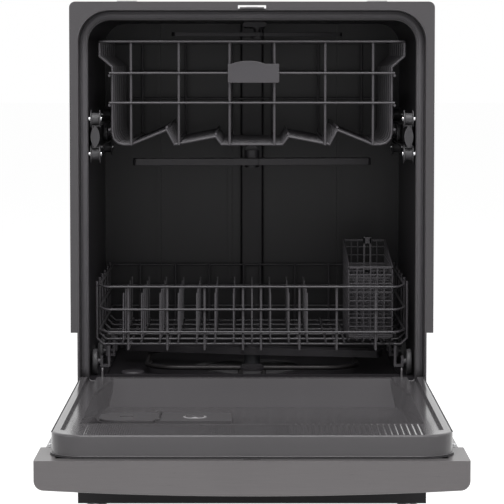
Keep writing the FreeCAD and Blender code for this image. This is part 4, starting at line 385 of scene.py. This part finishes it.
SOFT_EDGES = {
    "tub": 1.0,
    "door_console": 1.2,
    "door_outer_panel": 0.3,
    "dispenser_body": 1.2,
    "detergent_lid": 1.0,
    "rinse_aid_cap": 0.6,
    "upper_rack_handle": 0.7,
    "toe_kick": 0.3,
    "lower_spray_arm": 0.8,
    "mid_spray_arm": 0.8,
    "top_spray_arm": 0.8,
    "rear_water_duct": 0.6,
}
for name, material in FINISHES.items():
    dress(NODES[name], material, SOFT_EDGES.get(name, 0.0))


# ---------------------------------------------------------------- mesh tools, in millimetres
def piece(name, mesh, material, body, nodes=()):
    """A mesh as a piece of the object that rides on a body."""
    mesh.transform(Matrix.Scale(MM, 4))
    mesh.polygons.foreach_set("use_smooth", [True] * len(mesh.polygons))
    mesh.materials.append(material)
    made = add_object(name, mesh)
    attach(made, body)
    if nodes:
        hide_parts(*nodes)
    return made


def soften(made, width, segments=2, angle=35):
    """Rounded edges, with shading that keeps the flat faces flat."""
    bevel = made.modifiers.new("bevel", "BEVEL")
    bevel.width = width * MM
    bevel.segments = segments
    bevel.limit_method = "ANGLE"
    bevel.angle_limit = math.radians(angle)
    made.modifiers.new("even", "WEIGHTED_NORMAL").keep_sharp = True
    return made


def place_of(node):
    """A node's lowest and highest corners at rest, in millimetres."""
    low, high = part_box(node)
    return [v / MM for v in low], [v / MM for v in high]


def grid_mesh(name, rows, close_rows=False, close_columns=False):
    """A mesh through rows of points; each row has the same number of points."""
    high, wide = len(rows), len(rows[0])
    points = [p for row in rows for p in row]
    faces = []
    for r in range(high if close_rows else high - 1):
        for c in range(wide if close_columns else wide - 1):
            s, d = (r + 1) % high, (c + 1) % wide
            faces.append((r * wide + c, r * wide + d, s * wide + d, s * wide + c))
    mesh = bpy.data.meshes.new(name)
    mesh.from_pydata(points, [], faces)
    return mesh


def joined(name, meshes):
    """Several meshes as one, every face looking outwards."""
    work = bmesh.new()
    for mesh in meshes:
        work.from_mesh(mesh)
        bpy.data.meshes.remove(mesh)
    bmesh.ops.recalc_face_normals(work, faces=work.faces)
    made = bpy.data.meshes.new(name)
    work.to_mesh(made)
    work.free()
    return made


def capped(mesh, first, last):
    """Ends of an open sweep closed with one face each."""
    work = bmesh.new()
    work.from_mesh(mesh)
    work.verts.ensure_lookup_table()
    for ring in (first, last):
        work.faces.new([work.verts[i] for i in ring])
    bmesh.ops.recalc_face_normals(work, faces=work.faces)
    work.to_mesh(mesh)
    work.free()
    return mesh


def bars(name, limits):
    """One mesh of bars, each given as x0, x1, y0, y1, z0, z1 and the rise of its far end."""
    points, faces = [], []
    for x0, x1, y0, y1, z0, z1, rise in limits:
        n = len(points)
        lift_at = {y0: 0, y1: rise}
        points += [(x, y, z + lift_at[y]) for x in (x0, x1) for y in (y0, y1) for z in (z0, z1)]
        for face in ((0, 1, 3, 2), (4, 6, 7, 5), (0, 4, 5, 1), (2, 3, 7, 6), (0, 2, 6, 4), (1, 5, 7, 3)):
            faces.append(tuple(n + corner for corner in face))
    mesh = bpy.data.meshes.new(name)
    mesh.from_pydata(points, [], faces)
    return mesh


def tube(name, path, radius, sides=12):
    """A round tube along points, its frame carried from point to point, with closed ends."""
    path = [Vector(p) for p in path]
    count = len(path)
    rows = []
    across = None
    for i, point in enumerate(path):
        along = (path[min(i + 1, count - 1)] - path[max(i - 1, 0)]).normalized()
        if across is None:
            across = along.orthogonal().normalized()
        across = (across - along * across.dot(along)).normalized()
        other = along.cross(across)
        angles = [2 * math.pi * k / sides for k in range(sides)]
        rows.append([tuple(point + radius * (across * math.cos(a) + other * math.sin(a))) for a in angles])
    mesh = grid_mesh(name, rows, close_columns=True)
    last = (count - 1) * sides
    return capped(mesh, range(sides), range(last, last + sides))


def lathe(name, profile, x, outwards, y, z, steps=72):
    """A closed profile of (distance from x, radius) turned round an axis along X."""
    rows = []
    for i in range(steps):
        angle = 2 * math.pi * i / steps
        c, s = math.cos(angle), math.sin(angle)
        rows.append([(x + outwards * along, y + r * c, z + r * s) for along, r in profile])
    return grid_mesh(name, rows, close_rows=True, close_columns=True)


def spaced(stops):
    """Numbers from the first stop to the last; each stop gives a value and the spacing after it."""
    values = [stops[0][0]]
    for (start, spacing), (end, _) in zip(stops, stops[1:]):
        count = max(1, round((end - start) / spacing))
        values += [start + (end - start) * (i + 1) / count for i in range(count)]
    return values


def ramp(value, low, high):
    return min(1.0, max(0.0, (value - low) / (high - low)))


def eased(value, low, high):
    share = ramp(value, low, high)
    return share * share * (3 - 2 * share)


def soft_max(a, b, width):
    """The larger of two heights, with a fillet where they cross."""
    return max(a, b) + max(0.0, width - abs(a - b)) ** 2 / (4 * width)


# ---------------------------------------------------------------- the door's moulded liner
RIM_Z = 235.0
BASIN_Z = 200.0
FLANGE_Z = 202.0
LINER_X = 283.0
LINER_NEAR = -686.0
LINER_FAR = -5.0
CORNER = 50.0
EDGE = 3.2
RIBS_NEAR = -682.0
RIBS_FAR = -569.0
GROOVE_IN = 256.0
GROOVE_OUT = 270.5
GROOVE_NEAR = -634.0
GROOVE_Z = 228.1
CUP_HOLE = (-225.0, -33.0, -336.0, -254.0)


def basin_height(x, y):
    """The sunk middle: a flat floor, a long ramp up to the tub, steep sides and near wall."""
    deep = RIM_Z - BASIN_Z
    top = 247.0 - 6.0 * eased(y, -230, -164) - 13.0 * ramp(y, -164, -54)
    side = BASIN_Z + deep * ramp(abs(x), top - 8.5, top)
    far = BASIN_Z + deep * ramp(y, -135, -29)
    near = BASIN_Z + deep * ramp(-y, 549, 566)
    return soft_max(soft_max(side, far, 2.0), near, 2.0)


def groove_depth(x, y):
    """How far the grooves for the lower rack's wheels lie under the rim."""
    half = (GROOVE_OUT - GROOVE_IN) / 2
    past = max(0.0, GROOVE_NEAR + half - y)
    spread = math.hypot(abs(x) - GROOVE_IN - half, past)
    return (RIM_Z - GROOVE_Z) * (1 - eased(spread, half - 1.2, half + 0.6))


def rib_depth(x, y):
    """Fine ribs on the band by the handle, wider ones on its right, faint ones on its left."""
    inside = eased(y, RIBS_NEAR, RIBS_NEAR + 3) * (1 - eased(y, RIBS_FAR - 3, RIBS_FAR))
    ends = 1 - eased(abs(x), 238, 244)
    if x < 56:
        share = 0.25 + 0.75 * eased(x, -150, -90)
        wave = 0.5 - 0.5 * math.cos(2 * math.pi * x / 3.3)
        return 1.0 * share * wave * inside * ends
    wave = (0.5 - 0.5 * math.cos(2 * math.pi * x / 8.4)) ** 3
    return 1.1 * wave * inside * ends


def in_corner(x, y):
    """A point of the square outline moved in to the rounded corners by the handle."""
    a = abs(x) - (LINER_X - CORNER)
    b = (LINER_NEAR + CORNER) - y
    if a <= 0 or b <= 0:
        return x, y
    share = max(a, b) / math.hypot(a, b)
    return math.copysign(LINER_X - CORNER + a * share, x), LINER_NEAR + CORNER - b * share


def in_hole(point):
    x0, x1, y0, y1 = CUP_HOLE
    return x0 - 0.01 < point.x < x1 + 0.01 and y0 - 0.01 < point.y < y1 + 0.01


def liner_mesh():
    """The liner's face as a fine grid of heights, with its outer wall and the dispenser's hole."""
    roll = [0.0, 0.25, 0.8, 1.7]
    x0, x1, y0, y1 = CUP_HOLE
    across = [(-LINER_X + EDGE, 2.4), (-272.0, 0.45), (-254.0, 1.4), (-236.0, 0.82), (x0, 0.82)]
    across += [(x1, 0.82), (56.0, 0.7), (245.0, 1.2), (254.0, 0.45), (272.0, 2.4), (LINER_X - EDGE, 1.0)]
    along = [(LINER_NEAR + EDGE, 1.2), (-676.0, 12.0), (-643.0, 1.0), (-624.0, 12.0), (-575.0, 1.4)]
    along += [(-545.0, 9.0), (y0, 9.0), (y1, 9.0), (-142.0, 1.4), (-128.0, 8.0), (-36.0, 1.2)]
    along += [(-22.0, 5.0), (LINER_FAR - EDGE, 1.0)]
    xs = [-LINER_X + d for d in roll] + spaced(across) + [LINER_X - d for d in reversed(roll)]
    ys = [LINER_NEAR + d for d in roll] + spaced(along) + [LINER_FAR - d for d in reversed(roll)]
    rows = []
    for y in ys:
        row = []
        for x in xs:
            px, py = in_corner(x, y)
            inset = min(LINER_X - abs(x), y - LINER_NEAR, LINER_FAR - y)
            drop = EDGE - math.sqrt(EDGE**2 - (EDGE - inset) ** 2) if inset < EDGE else 0.0
            height = min(RIM_Z, basin_height(px, py)) - groove_depth(px, py) - rib_depth(px, py)
            row.append((px, py, height - drop))
        rows.append(row)
    mesh = grid_mesh("door_liner_face", rows)
    work = bmesh.new()
    work.from_mesh(mesh)
    holed = [f for f in work.faces if in_hole(f.calc_center_median())]
    bmesh.ops.delete(work, geom=holed, context="FACES")
    rim = [e for e in work.edges if e.is_boundary]
    for edges, foot in (
        ([e for e in rim if not in_hole(e.verts[0].co)], FLANGE_Z - 1.0),
        ([e for e in rim if in_hole(e.verts[0].co)], BASIN_Z - 6.0),
    ):
        added = bmesh.ops.extrude_edge_only(work, edges=edges)["geom"]
        for vert in added:
            if isinstance(vert, bmesh.types.BMVert):
                vert.co.z = foot
    bmesh.ops.recalc_face_normals(work, faces=work.faces)
    if sum(f.normal.z * f.calc_area() for f in work.faces) < 0:
        bmesh.ops.reverse_faces(work, faces=work.faces)
    work.to_mesh(mesh)
    work.free()
    return mesh


liner = piece("door_liner_face", liner_mesh(), LINER, "door", ["door_liner"])
shell = liner.modifiers.new("shell", "SOLIDIFY")
shell.thickness = 1.6 * MM
shell.offset = -1.0
split = liner.modifiers.new("split", "EDGE_SPLIT")
split.split_angle = math.radians(60)

FLANGE_X = 296.0
flange_bars = []
for side in (-1, 1):
    x0, x1 = sorted((side * (LINER_X - 1.0), side * FLANGE_X))
    flange_bars.append((x0, x1, -574.0, -48.0, 199.0, FLANGE_Z, 0.0))
flange_mesh = bars("door_liner_flange", flange_bars)
flange = piece("door_liner_flange", flange_mesh, LINER, "door", ["door_liner"])
soften(flange, 0.6)


def liner_outline(out, far):
    """Points round the liner's three outer sides, a distance outside its wall."""
    half, near, corner = LINER_X + out, LINER_NEAR - out, CORNER + out
    left = [(-half, y) for y in spaced([(far, 25.0), (near + corner, 25.0)])]
    for i in range(1, 19):
        turn = math.pi / 2 * i / 18
        left.append((-half + corner - corner * math.cos(turn), near + corner - corner * math.sin(turn)))
    return left + [(-x, y) for x, y in reversed(left)]


foot_bead = [(x, y, FLANGE_Z + 3.0) for x, y in liner_outline(0.2, -60.0)]
piece("liner_foot_bead", tube("liner_foot_bead", foot_bead, 0.9), LINER, "door")
# painted shadow: a dark tube just outside the liner's foot stands in for the shade in the gap under the
# bead
foot_shadow_line = [(x, y, FLANGE_Z + 0.7) for x, y in liner_outline(1.0, -60.0)]
piece("liner_foot_shadow_line", tube("liner_foot_shadow_line", foot_shadow_line, 1.1), RUBBER, "door")
for side, label in ((-1, "left"), (1, "right")):
    line = [(side * (LINER_X - 0.9), y, RIM_Z - 1.3) for y in spaced([(-638.0, 20.0), (-12.0, 20.0)])]
    name = f"liner_edge_{label}"
    piece(name, tube(name, line, 1.4), RUBBER, "door")


# ---------------------------------------------------------------- the tub's seal and track lips
SEAL_HALF = 277.75
SEAL_TOP = 829.75
SEAL_CORNER = 44.75
SEAL_FOOT = 225.0
SEAL_WIDTH = 6.0
SEAL_BACK = 33.5
SEAL_PROUD = 3.2
SEAL_POINTS = 21            # points across the bulb


def seal_path():
    """The seal's middle line, up the left side, over the mouth and down: (x, z, normal x, normal z)."""
    heights = spaced([(SEAL_FOOT, 20.0), (SEAL_TOP - SEAL_CORNER, 20.0)])
    spots = [(-SEAL_HALF, z, -1.0, 0.0) for z in heights]
    for i in range(1, 25):
        turn = math.pi - math.pi / 2 * i / 24
        c, s = math.cos(turn), math.sin(turn)
        x = -SEAL_HALF + SEAL_CORNER + SEAL_CORNER * c
        spots.append((x, SEAL_TOP - SEAL_CORNER + SEAL_CORNER * s, c, s))
    mirrored = [(-x, z, -nx, nz) for x, z, nx, nz in reversed(spots)]
    return spots + mirrored


def seal_mesh():
    rows = []
    for x, z, nx, nz in seal_path():
        row = []
        for k in range(SEAL_POINTS):
            angle = math.pi * k / (SEAL_POINTS - 1)
            u = -SEAL_WIDTH * math.cos(angle)
            crease = 0.9 * math.exp(-((u + 2.6) ** 2) / 0.5) + 0.5 * math.exp(-((u - 3.6) ** 2) / 0.3)
            proud = max(0.0, SEAL_PROUD * math.sin(angle) ** 0.8 - crease)
            row.append((x + nx * u, SEAL_BACK - proud, z + nz * u))
        rows.append(row)
    mesh = grid_mesh("tub_seal_bulb", rows, close_columns=True)
    last = (len(rows) - 1) * SEAL_POINTS
    return capped(mesh, range(SEAL_POINTS), range(last, last + SEAL_POINTS))


piece("tub_seal_bulb", seal_mesh(), SEAL, "chassis", ["tub_gasket"])

LIP_OUT = 265.0             # middles of the lip's two lower corners
LIP_IN = 257.0
LIP_CORNER = 8.0
LIP_BEND = 230.0
LIP_TOP = 250.0
LIP_Y = 35.9
LIP_RADIUS = 1.8


def lip_path(side):
    """The rim of a wheel track in the tub's mouth: down, across and up again."""
    path = [(side * (LIP_OUT + LIP_CORNER), LIP_Y, z) for z in spaced([(LIP_TOP, 4.0), (LIP_BEND, 4.0)])]
    turns = [math.pi / 2 * i / 8 for i in range(9)]
    quarter = [(LIP_CORNER * math.cos(a), LIP_CORNER * math.sin(a)) for a in turns]
    path += [(side * (LIP_OUT + c), LIP_Y, LIP_BEND - s) for c, s in quarter[1:]]
    path += [(side * (LIP_IN - s), LIP_Y, LIP_BEND - c) for c, s in quarter]
    return path + [(side * (LIP_IN - LIP_CORNER), LIP_Y, LIP_BEND + up) for up in (4.0, 10.0, 15.0)]


for side, label in ((-1, "left"), (1, "right")):
    name = f"track_lip_{label}"
    piece(name, tube(name, lip_path(side), LIP_RADIUS), LIP, "chassis")


# ---------------------------------------------------------------- wheels and rollers
AXLE = 3.05
WHEEL_WIDTHS = {"lower_wheels": 9.0, "rack_wheels": 7.6, "tub_rollers": 16.4}


def wheel_profile(width, radius):
    """Tyre, sunk web and hub, the same on both faces."""
    half = width / 2
    face = [
        (0.0, AXLE),
        (0.0, 0.30 * radius),
        (0.18 * width, 0.36 * radius),
        (0.34 * width, 0.40 * radius),
        (0.34 * width, 0.72 * radius),
        (0.16 * width, 0.79 * radius),
        (0.07 * width, 0.84 * radius),
        (0.07 * width, 0.95 * radius),
        (0.14 * width, 0.985 * radius),
        (0.24 * width, radius),
    ]
    return face + [(2 * half - along, r) for along, r in reversed(face)]


def spokes(x, outwards, width, radius, y, z, count=6):
    """Ribs across the web, on both sides of it."""
    meshes = []
    for k in range(count):
        turn = 2 * math.pi * k / count
        c, s = math.cos(turn), math.sin(turn)
        x0, x1 = sorted((x + outwards * 0.14 * width, x + outwards * 0.86 * width))
        mesh = bars("spoke", [(x0, x1, 0.34 * radius, 0.8 * radius, -0.8, 0.8, 0.0)])
        mesh.transform(Matrix(((1, 0, 0, 0), (0, c, -s, y), (0, s, c, z), (0, 0, 0, 1))))
        meshes.append(mesh)
    return meshes


def roller_profile(width):
    """A tread between two thin washers."""
    face = [(0.0, AXLE), (0.0, 6.0), (0.5, 6.6), (0.5, 13.4), (0.1, 14.0), (0.1, 14.6), (0.5, 15.0)]
    face += [(1.4, 15.0), (1.8, 14.6), (2.0, 10.5), (2.6, 10.0)]
    return face + [(width - along, r) for along, r in reversed(face)]


for name in NODES:
    kind = "_".join(name.split("_")[:2])
    if kind not in WHEEL_WIDTHS:
        continue
    low, high = place_of(name)
    y, z = (low[1] + high[1]) / 2, (low[2] + high[2]) / 2
    radius = (high[2] - low[2]) / 2
    width = WHEEL_WIDTHS[kind]
    meshes = []
    for side in (-1, 1):
        x = side * (high[0] - width)
        if kind == "tub_rollers":
            meshes.append(lathe(name, roller_profile(width), x, side, y, z))
        else:
            meshes.append(lathe(name, wheel_profile(width, radius), x, side, y, z))
            meshes += spokes(x, side, width, radius, y, z)
    wheel = piece(f"{name}_turned", joined(name + "_turned", meshes), WHEEL, name, [name])
    split = wheel.modifiers.new("split", "EDGE_SPLIT")
    split.split_angle = math.radians(38)


# ---------------------------------------------------------------- silverware basket
BAR = 2.3
BAR_STEP = 11.5
ROW_STEP = 14.4
BASKET_WALL = 2.4
BASKET_FLOOR = 10.0
BASKET_FRONT_TOP = 412.0
BASKET_BACK_TOP = 440.0
BASKET_CELLS = 4
CROSS_WALL_DROP = 30.0
RIM = 6.0                   # height that the rows of bars leave free below the rim
GRIP_HALF = 7.0
GRIP_BAR = 3.4
GRIP_LOW = 392.0
GRIP_HIGH = 452.0


def basket_rows(low, high):
    """Heights of the level bars from the basket's floor to just below a rim."""
    return [low + ROW_STEP * i for i in range(math.ceil((high - RIM - low) / ROW_STEP))]


def basket_side(x, y0, y1, foot):
    """One side wall: upright bars, level bars under the sloping rim, the rim and the foot."""
    wall = BASKET_WALL
    slope = (BASKET_BACK_TOP - BASKET_FRONT_TOP) / (y1 - y0)
    parts = []
    for y in spaced([(y0, BAR_STEP), (y1 - BAR, BAR_STEP)]):
        top = BASKET_FRONT_TOP + slope * (y - y0) - 2
        parts.append((x + 0.1, x + wall - 0.1, y, y + BAR, foot, top, 0.0))
    for z in basket_rows(foot + BASKET_FLOOR, BASKET_BACK_TOP):
        start = y0 + max(0.0, z - BASKET_FRONT_TOP + RIM) / slope
        parts.append((x + 0.3, x + wall - 0.3, start, y1, z, z + BAR, 0.0))
    rise = BASKET_BACK_TOP - BASKET_FRONT_TOP
    parts.append((x, x + wall, y0, y1, BASKET_FRONT_TOP - 5, BASKET_FRONT_TOP, rise))
    parts.append((x, x + wall, y0, y1, foot, foot + 3, 0.0))
    return parts


def basket_cross_wall(x0, x1, y, top, foot):
    """An end wall, or a lower wall between two cells."""
    wall = BASKET_WALL
    parts = []
    for x in spaced([(x0 + wall, BAR_STEP), (x1 - wall - BAR, BAR_STEP)])[1:-1]:
        parts.append((x, x + BAR, y + 0.1, y + wall - 0.1, foot + 2, top - 2, 0.0))
    for z in basket_rows(foot + BASKET_FLOOR, top):
        parts.append((x0 + 1, x1 - 1, y + 0.3, y + wall - 0.3, z, z + BAR, 0.0))
    parts.append((x0 + 1, x1 - 1, y, y + wall, top - 4, top, 0.0))
    return parts


def basket_grip(centre, middle):
    """The carrying grip: two posts between an upper and a lower bar."""
    near, far = middle - BASKET_WALL / 2, middle + BASKET_WALL / 2
    left, right = centre - GRIP_HALF, centre + GRIP_HALF
    posts = [(x, x + GRIP_BAR, near, far, GRIP_LOW, GRIP_HIGH - 1, 0.0) for x in (left, right - GRIP_BAR)]
    ends = [(left, right, near, far, GRIP_HIGH - 11, GRIP_HIGH, 0.0)]
    return posts + ends + [(left, right, near, far, GRIP_LOW, GRIP_LOW + 8, 0.0)]


def basket_mesh():
    """Walls, cross walls and floor of bars, with a sloping rim and a carrying grip."""
    low, high = place_of("silverware_basket")
    x0, x1, y0, y1, foot = low[0], high[0], low[1], high[1], low[2]
    floor = foot + BASKET_FLOOR
    slope = (BASKET_BACK_TOP - BASKET_FRONT_TOP) / (y1 - y0)
    parts = []
    for x in (x0, x1 - BASKET_WALL):
        parts += basket_side(x, y0, y1, foot)
    for i in range(BASKET_CELLS + 1):
        y = y0 + i * (y1 - y0 - BASKET_WALL) / BASKET_CELLS
        drop = 0 if i in (0, BASKET_CELLS) else CROSS_WALL_DROP
        parts += basket_cross_wall(x0, x1, y, BASKET_FRONT_TOP + slope * (y - y0) - drop, foot)
    for x in spaced([(x0, BAR_STEP), (x1 - BAR, BAR_STEP)]):
        parts.append((x, x + BAR, y0 + 0.2, y1 - 0.2, floor - 4, floor - 1.4, 0.0))
    for y in spaced([(y0, BAR_STEP), (y1 - BAR, BAR_STEP)]):
        parts.append((x0 + 0.2, x1 - 0.2, y, y + BAR, floor - 3.4, floor - 0.8, 0.0))
    parts += basket_grip((x0 + x1) / 2, (y0 + y1) / 2)
    return bars("silverware_basket_grid", parts)


basket = piece(
    "silverware_basket_grid",
    basket_mesh(),
    BASKET,
    "silverware_basket",
    ["silverware_basket"],
)
soften(basket, 0.35, segments=1)


# ---------------------------------------------------------------- door springs
COIL = 3.3
COIL_WIRE = 0.7
COIL_PITCH = 2.2
COIL_STEPS = 14             # points in one turn
COIL_END = 12.0             # straight length at each end
COIL_GROW = 10              # points over which the coil opens from the straight end


def spring_mesh(side):
    """A close-wound tension coil between two straight ends."""
    low, high = place_of("door_springs")
    x = side * (high[0] - 4.0)
    start, end = Vector((x, low[1] + 4, high[2] - 3)), Vector((x, high[1] - 4, low[2] + 3))
    along = (end - start).normalized()
    across = Vector((1, 0, 0))
    other = along.cross(across)
    length = (end - start).length
    path = [start + along * d + across * 0.01 for d in (0.0, 4.0, 8.0)]
    coiled = length - 2 * COIL_END
    count = int(coiled / COIL_PITCH * COIL_STEPS)
    for i in range(count + 1):
        turn = 2 * math.pi * i / COIL_STEPS
        grow = min(1.0, i / COIL_GROW, (count - i) / COIL_GROW)
        reach = COIL * max(0.05, grow)
        centre = start + along * (COIL_END + coiled * i / count)
        path.append(centre + across * (reach * math.cos(turn)) + other * (reach * math.sin(turn)))
    path += [start + along * (length - d) for d in (8.0, 4.0, 0.0)]
    return tube("coil", path, COIL_WIRE, sides=7)


coils = joined("door_springs_coiled", [spring_mesh(-1), spring_mesh(1)])
piece("door_springs_coiled", coils, ZINC, "chassis", ["door_springs"])


# ---------------------------------------------------------------- felt pads
STITCH = 58.0               # distance between the pads' stitch lines


def pad_mesh(name, low, high, axis, outwards):
    """A felt pad: flat where it lies on the tub, rounded at its edges, with pressed-in stitch lines."""
    a, b = [i for i in range(3) if i != axis]
    thick = high[axis] - low[axis]
    us = spaced([(low[a], 1.2), (low[a] + 7, 5.0), (high[a] - 7, 1.2), (high[a], 1.0)])
    vs = spaced([(low[b], 1.2), (low[b] + 7, 5.0), (high[b] - 7, 1.2), (high[b], 1.0)])
    base = low[axis] if outwards > 0 else high[axis]
    sheets = []
    for top in (True, False):
        rows = []
        for v in vs:
            row = []
            for u in us:
                inset = min(u - low[a], high[a] - u, v - low[b], high[b] - v)
                edge = math.sqrt(max(0.0, 1 - (1 - ramp(inset, 0, 6)) ** 2))
                quilt = abs(math.sin(math.pi * (u - low[a]) / STITCH))
                quilt *= abs(math.sin(math.pi * (v - low[b]) / STITCH))
                height = thick * edge * (0.72 + 0.28 * quilt**0.35) if top else 0.0
                point = [0.0, 0.0, 0.0]
                point[a], point[b], point[axis] = u, v, base + outwards * height
                row.append(tuple(point))
            rows.append(row)
        sheets.append(grid_mesh(name, rows))
    mesh = joined(name, sheets)
    work = bmesh.new()
    work.from_mesh(mesh)
    bmesh.ops.remove_doubles(work, verts=work.verts, dist=0.001)
    bmesh.ops.recalc_face_normals(work, faces=work.faces)
    work.to_mesh(mesh)
    work.free()
    return mesh


low, high = place_of("sound_blanket")
SIDE_PAD_TOP = 764.0
PAD = 6.0
PAD_HALF = 225.5
pads = {
    "felt_pad_top": ((-PAD_HALF, low[1], high[2] - PAD), (PAD_HALF, high[1], high[2]), 2, 1),
    "felt_pad_left": ((low[0], low[1], low[2]), (low[0] + PAD, high[1], SIDE_PAD_TOP), 0, -1),
    "felt_pad_right": ((high[0] - PAD, low[1], low[2]), (high[0], high[1], SIDE_PAD_TOP), 0, 1),
}
for name, (corner, far_corner, axis, outwards) in pads.items():
    mesh = pad_mesh(name, corner, far_corner, axis, outwards)
    piece(name, mesh, FELT, "chassis", ["sound_blanket"])


# ---------------------------------------------------------------- marks on the dispenser
low, high = place_of("rinse_aid_cap")
CAP_MIDDLE = ((low[0] + high[0]) / 2, (low[1] + high[1]) / 2)
CAP_FACE = 207.8
rows = []
for i in range(72):
    turn = 2 * math.pi * i / 72
    rows.append(
        [
            (CAP_MIDDLE[0] + r * math.cos(turn), CAP_MIDDLE[1] + r * math.sin(turn), CAP_FACE + up)
            for r, up in ((15.0, -0.2), (15.2, 0.25), (15.8, 0.4), (17.2, 0.4), (17.8, 0.25), (18.0, -0.2))
        ]
    )
ring = grid_mesh("rinse_cap_ring", rows, close_rows=True, close_columns=True)
piece("rinse_cap_ring", joined("rinse_cap_ring", [ring]), PALE, "rinse_aid_cap")

tip, tail = CAP_MIDDLE[1] - 4.0, CAP_MIDDLE[1] - 12.5
mark = bpy.data.meshes.new("rinse_cap_pointer")
corners = [(CAP_MIDDLE[0] + x, tip) for x in (-1.2, 1.2)]
corners += [(CAP_MIDDLE[0] + x, tail) for x in (5.0, -5.0)]
points = [(x, y, CAP_FACE + up) for up in (-0.3, 0.45) for x, y in corners]
sides = [(k, (k + 1) % 4, 4 + (k + 1) % 4, 4 + k) for k in range(4)]
mark.from_pydata(points, [], [(3, 2, 1, 0), (4, 5, 6, 7)] + sides)
pointer = piece("rinse_cap_pointer", mark, PALE, "rinse_aid_cap")
soften(pointer, 0.2, segments=1)
